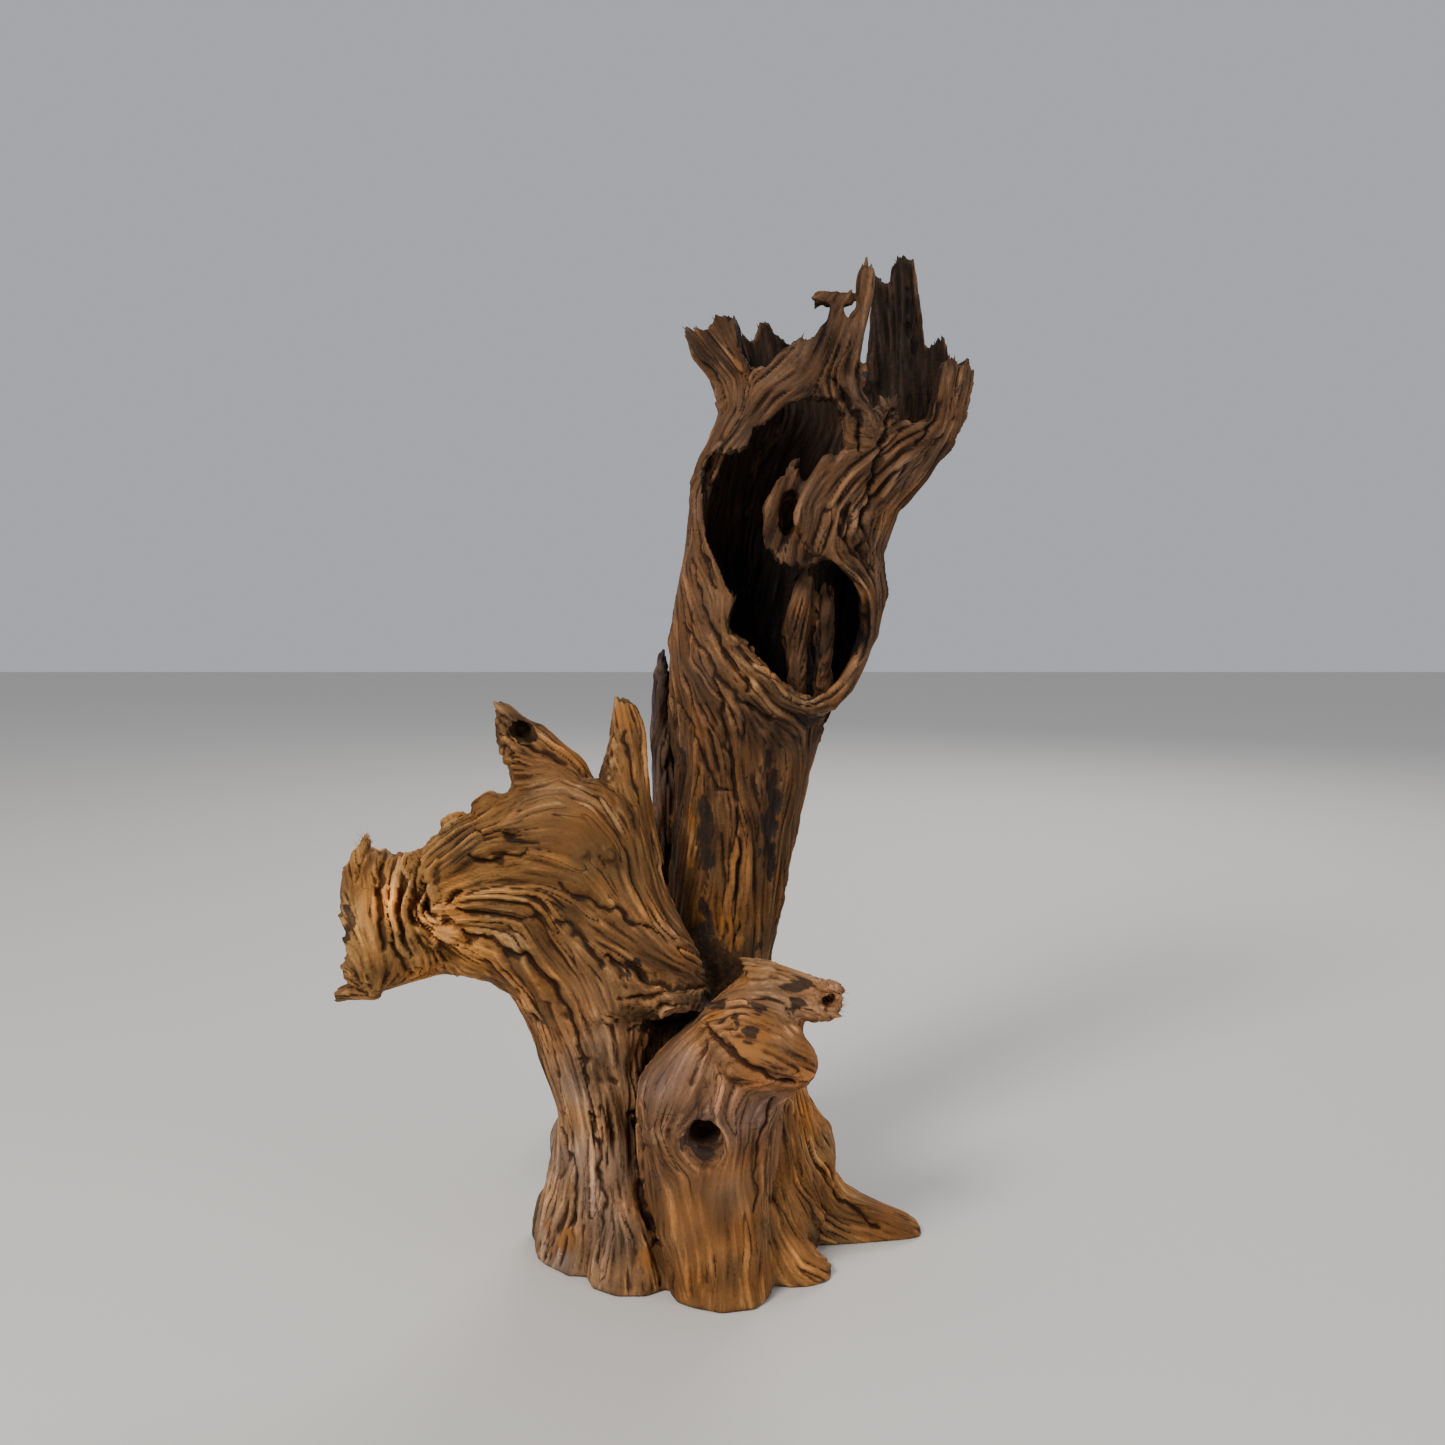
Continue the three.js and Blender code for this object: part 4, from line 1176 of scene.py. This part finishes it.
# Pieces, each closed, cut from the one skin
trunkCuts = {"trunk_stem": (0, 235), "trunk_middle": (235, 352), "trunk_top": (352, 600)}  # heights
cap = {"inset": 2.5, "rounds": 4}  # how far the hidden end of a piece lies under its rim, and its smoothing
materials = {slot: woodMaterial(slot) for slot in sorted(set(pieceSlots.values()))}

# painted shade inside the hollow trunk, darkest low down; the surface row also carries the furrows' painted
# shade, and the detail row the crevices'
inside = np.maximum(shadow["shallow"] * hollowShade, deep)
cracked = np.maximum(drawn["cracks"], drawn["splits"])
attributes = {
    "streak": np.stack([streak["coarse"], streak["middle"], seamPlaces], axis=1),
    "surface": np.stack([cavityShade, inside, cracked], axis=1),
    "stain": np.stack([stain["rust"], stain["char"], stain["pale"]], axis=1),
    "detail": np.stack([streak["fine"], crevice, np.clip(spotted(polished), 0, 1)], axis=1),
    "along": along,
    "wood": toneAndPaintedLight,
}


def loopsOf(edges):  # closed rings of points, from the edges that run round them
    following = {}
    for a, b in edges:
        following.setdefault(a, []).append(b)
    loops = []
    while following:
        loop, at = [], next(iter(following))
        while at in following:
            loop.append(at)
            ahead = following[at].pop()
            if not following[at]:
                del following[at]
            at = ahead
        loops.append(loop)
    return loops


def addAttributes(mesh, rows):
    for key, values in rows.items():
        colour = key == "wood"
        if colour:
            values = np.concatenate([values, np.ones((len(values), 1))], axis=1)
        made = mesh.attributes.new(key, "FLOAT_COLOR" if colour else "FLOAT_VECTOR", "POINT")
        made.data.foreach_set("color" if colour else "vector", values.astype(np.float32).ravel())


def dishedCap(rim, number, start):  # points under a rim, and the faces that close it with them
    inner = skin.points[rim] - cap["inset"] * normals[rim]
    for _ in range(cap["rounds"]):
        inner = 0.5 * inner + 0.25 * (np.roll(inner, 1, axis=0) + np.roll(inner, -1, axis=0))
    count, faces = len(rim), []
    for k, a in enumerate(rim):
        after = (k + 1) % count
        faces.append((number[rim[after]], number[a], start + k, start + after))
        faces.append((start + after, start + k, start + count))
    return [*inner, inner.mean(0)], faces


def levelCap(loops, number, up):  # the faces that close a level cut
    order = [p for loop in loops for p in loop]
    outlines = [[Vector((*skin.points[p, :2], 0)) for p in loop] for loop in loops]
    faces = []
    for triangle in tessellate_polygon(outlines):
        a, b, c = (skin.points[order[k], :2] for k in triangle)
        turned = np.cross(b - a, c - a) > 0
        faces.append(tuple(number[order[k]] for k in (triangle if turned == up else triangle[::-1])))
    return faces


def closedPiece(name, faces, slot, node):
    pairs = np.concatenate([faces[:, [k, (k + 1) % 4]] for k in range(4)])
    keys = pairs[:, 0] * len(skin.points) + pairs[:, 1]
    back = pairs[:, 1] * len(skin.points) + pairs[:, 0]
    rims = loopsOf(pairs[~np.isin(keys, back)].tolist())
    used, first = np.unique(faces, return_inverse=True)
    number = {old: new for new, old in enumerate(used.tolist())}
    faces = first.reshape(-1, 4).tolist()
    levels = [z for span in trunkCuts.values() for z in span]
    extra, flat = [], {}
    for rim in rims:
        heights = skin.points[rim][:, 2]
        cuts = [z for z in levels if np.abs(heights - z).max() < 2 * body["voxel"]]
        if cuts and name in trunkCuts:
            flat.setdefault(cuts[0], []).append(rim)
        else:
            added, closing = dishedCap(rim, number, len(used) + len(extra))
            extra += added
            faces += closing
    for height, loops in flat.items():
        faces += levelCap(loops, number, height == trunkCuts[name][1])
    extra = np.array(extra).reshape(-1, 3)
    points = np.concatenate([skin.points[used], extra])
    mesh = bpy.data.meshes.new(name)
    mesh.from_pydata((points * mm).tolist(), [], faces)
    addAttributes(mesh, {key: np.concatenate([rows[used], 0 * extra]) for key, rows in attributes.items()})
    mesh.shade_smooth()
    shading = np.concatenate([normals[used], np.tile((0.0, 0.0, 1.0), (len(extra), 1))])
    mesh.normals_split_custom_set_from_vertices(shading.tolist())
    mesh.materials.append(materials[slot])
    made = bpy.data.objects.new(name, mesh)
    bpy.context.scene.collection.objects.link(made)
    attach(made, "root")
    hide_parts(node)
    report(f"{name}: {sum(len(face) - 2 for face in faces)} triangles")


quadOwner = owner[skin.quads].sum(1).argmax(1)
quadHeight = skin.points[skin.quads][:, :, 2].mean(1)
for number, name in enumerate(nodeNames):
    mine = quadOwner == number
    if name == "hollow_trunk":
        for part, (low, high) in trunkCuts.items():
            here = mine & (quadHeight >= low) & (quadHeight < high)
            closedPiece(part, skin.quads[here], pieceSlots[name], name)
    else:
        closedPiece(name + "_wood", skin.quads[mine], pieceSlots[name], name)

# Splinters and hairs, grown by Geometry Nodes from seed points on the broken edges
sprouts = {
    "splinters": {
        "count": 260,
        "length": (0.8, 3.6),
        "girth": (0.3, 0.7),
        "sides": 5,
        "stray": 0.12,
        "seed": 7,
        "heights": (395, 415),  # between which the broken ends begin to bear them
        "spots": [(352, 900, 16, 1), (735, 598, 5, 1), (820, 570, 6, 1)],
        "slot": "trunk_wood",
    },
    "hairs": {
        "count": 150,
        "length": (2.0, 7.0),
        "girth": (0.1, 0.2),
        "sides": 4,
        "stray": 0.5,
        "seed": 9,
        "heights": (995, 1015),  # above the top, so on the spots alone
        "spots": [(837, 1003, 5, 1), (368, 842, 4, 1)],
        "slot": "stub_wood",
    },
}
sprouting = {
    "sink": 1.0,  # how deep they start
    "lean": 0.3,  # away from the skin
    "flatness": 0.5,
    "thick": 0.1,  # chance on thick wood
    "streaks": (-0.5, 1.5),
    "tip": 0.05,  # of the foot's radius
}


def sproutTree(material):
    tree = bpy.data.node_groups.new("sprouts", "GeometryNodeTree")
    for name, kind, way in (
        ("Seeds", "NodeSocketGeometry", "INPUT"), ("Length", "NodeSocketFloat", "INPUT"),
        ("Girth", "NodeSocketFloat", "INPUT"), ("Sides", "NodeSocketInt", "INPUT"),
        ("Splinters", "NodeSocketGeometry", "OUTPUT"),
    ):
        tree.interface.new_socket(name, in_out=way, socket_type=kind)
    given, result = tree.nodes.new("NodeGroupInput"), tree.nodes.new("NodeGroupOutput")
    cone = tree.nodes.new("GeometryNodeMeshCone")
    cone.inputs["Radius Top"].default_value = sprouting["tip"]
    cone.inputs["Radius Bottom"].default_value = 1
    cone.inputs["Depth"].default_value = 1
    aim, size = (tree.nodes.new("GeometryNodeInputNamedAttribute") for _ in range(2))
    aim.data_type, size.data_type = "FLOAT_VECTOR", "FLOAT_VECTOR"
    aim.inputs["Name"].default_value, size.inputs["Name"].default_value = "aim", "size"
    turn = tree.nodes.new("FunctionNodeAlignRotationToVector")
    turn.axis = "Z"
    most = tree.nodes.new("ShaderNodeCombineXYZ")
    scale = tree.nodes.new("ShaderNodeVectorMath")
    scale.operation = "MULTIPLY"
    place = tree.nodes.new("GeometryNodeInstanceOnPoints")
    real = tree.nodes.new("GeometryNodeRealizeInstances")
    paint = tree.nodes.new("GeometryNodeSetMaterial")
    paint.inputs["Material"].default_value = material
    link = tree.links.new
    link(given.outputs["Sides"], cone.inputs["Vertices"])
    link(aim.outputs["Attribute"], turn.inputs["Vector"])
    for axis, name in enumerate(("Girth", "Girth", "Length")):
        link(given.outputs[name], most.inputs[axis])
    link(size.outputs["Attribute"], scale.inputs[0])
    link(most.outputs[0], scale.inputs[1])
    link(given.outputs["Seeds"], place.inputs["Points"])
    link(cone.outputs["Mesh"], place.inputs["Instance"])
    link(turn.outputs["Rotation"], place.inputs["Rotation"])
    link(scale.outputs[0], place.inputs["Scale"])
    link(place.outputs["Instances"], real.inputs[0])
    link(real.outputs[0], paint.inputs["Geometry"])
    link(paint.outputs[0], result.inputs["Splinters"])
    return tree


def sprout(name, kind):
    random = np.random.default_rng(kind["seed"])
    chance = ends * smoothStep(*kind["heights"], skin.points[:, 2])
    chance = chance + (sprouting["thick"] + thin) * spotted(kind["spots"])
    chance = chance * smoothStep(*sprouting["streaks"], streak["fine"])
    seeds = random.choice(len(chance), kind["count"], replace=False, p=chance / chance.sum())
    leaning = sprouting["lean"] * normals[seeds] + kind["stray"] * random.standard_normal((len(seeds), 3))
    aims = unit(outwards[seeds] + leaning)
    low, high = kind["length"]
    length = (low + (high - low) * random.random(len(seeds)) ** 2) / high
    girth = random.uniform(kind["girth"][0] / kind["girth"][1], 1, len(seeds))
    mesh = bpy.data.meshes.new(name)
    mesh.from_pydata(((skin.points[seeds] - sprouting["sink"] * aims) * mm).tolist(), [], [])
    rows = {key: values[seeds] for key, values in attributes.items()}
    rows["aim"] = rows["along"] = aims
    rows["size"] = np.stack([girth, sprouting["flatness"] * girth, length], axis=1)
    addAttributes(mesh, rows)
    made = bpy.data.objects.new(name, mesh)
    bpy.context.scene.collection.objects.link(made)
    tree = sproutTree(materials[kind["slot"]])
    modifier = made.modifiers.new(name, "NODES")
    modifier.node_group = tree
    values = {"Length": high * mm, "Girth": kind["girth"][1] * mm, "Sides": kind["sides"]}
    for item in tree.interface.items_tree:
        if item.name in values:
            modifier[item.identifier] = values[item.name]
    depsgraph = bpy.context.evaluated_depsgraph_get()
    plain = bpy.data.meshes.new_from_object(made.evaluated_get(depsgraph))
    made.modifiers.remove(modifier)
    made.data = plain
    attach(made, "root")
    report(f"{name}: {len(plain.polygons)} faces")


for name, kind in sprouts.items():
    sprout(name, kind)

# Floor, light and camera, in metres
studio = {
    "floor": {"reach": 4.0, "colour": (0.62, 0.6, 0.57), "roughness": 0.8},
    "room": (0.9, 0.93, 1.0),
    "roomLight": 0.5,
    "lamps": {
        "key": {
            "place": (-0.9, -1.3, 1.5), "target": (0, 0, 0.2), "size": 0.6, "power": 38,
            "colour": (1, 0.95, 0.88),
        },
        "fill": {
            "place": (1.4, -1.0, 0.7), "target": (0, 0, 0.2), "size": 1.2, "power": 7,
            "colour": (0.9, 0.95, 1),
        },
        "back": {
            "place": (0.5, 1.4, 1.3), "target": (0, 0, 0.25), "size": 1.0, "power": 14,
            "colour": (1, 0.97, 0.93),
        },
    },
}


def plainFloor(reach, colour, roughness):
    mesh = bpy.data.meshes.new("floor")
    ring = [(-reach, -reach, 0), (reach, -reach, 0), (reach, reach, 0), (-reach, reach, 0)]
    mesh.from_pydata(ring, [], [(0, 1, 2, 3)])
    floor = bpy.data.objects.new("floor", mesh)
    material = bpy.data.materials.new("floor")
    material.use_nodes = True
    shader = material.node_tree.nodes["Principled BSDF"]
    shader.inputs["Base Color"].default_value = (*colour, 1)
    shader.inputs["Roughness"].default_value = roughness
    mesh.materials.append(material)
    bpy.context.scene.collection.objects.link(floor)


def softLight(name, place, target, size, power, colour):
    lamp = bpy.data.lights.new(name, "AREA")
    lamp.shape, lamp.size, lamp.energy, lamp.color = "DISK", size, power, colour
    made = bpy.data.objects.new(name, lamp)
    made.location = place
    made.rotation_euler = (Vector(target) - Vector(place)).to_track_quat("-Z", "Y").to_euler()
    bpy.context.scene.collection.objects.link(made)


plainFloor(**studio["floor"])
for name, lamp in studio["lamps"].items():
    softLight(name, **lamp)
world = bpy.data.worlds.new("studio")
world.use_nodes = True
world.node_tree.nodes["Background"].inputs[0].default_value = (*studio["room"], 1)
world.node_tree.nodes["Background"].inputs[1].default_value = studio["roomLight"]
bpy.context.scene.world = world

lens = bpy.data.cameras.new("camera")
lens.sensor_width = view["sensor"]
lens.lens = view["sensor"] * view["focal"] / view["pixels"]
camera = bpy.data.objects.new("camera", lens)
camera.location = Vector(view["place"]) * mm
camera.rotation_euler = (math.radians(90 - view["tilt"]), 0, 0)
bpy.context.scene.collection.objects.link(camera)
bpy.context.scene.camera = camera
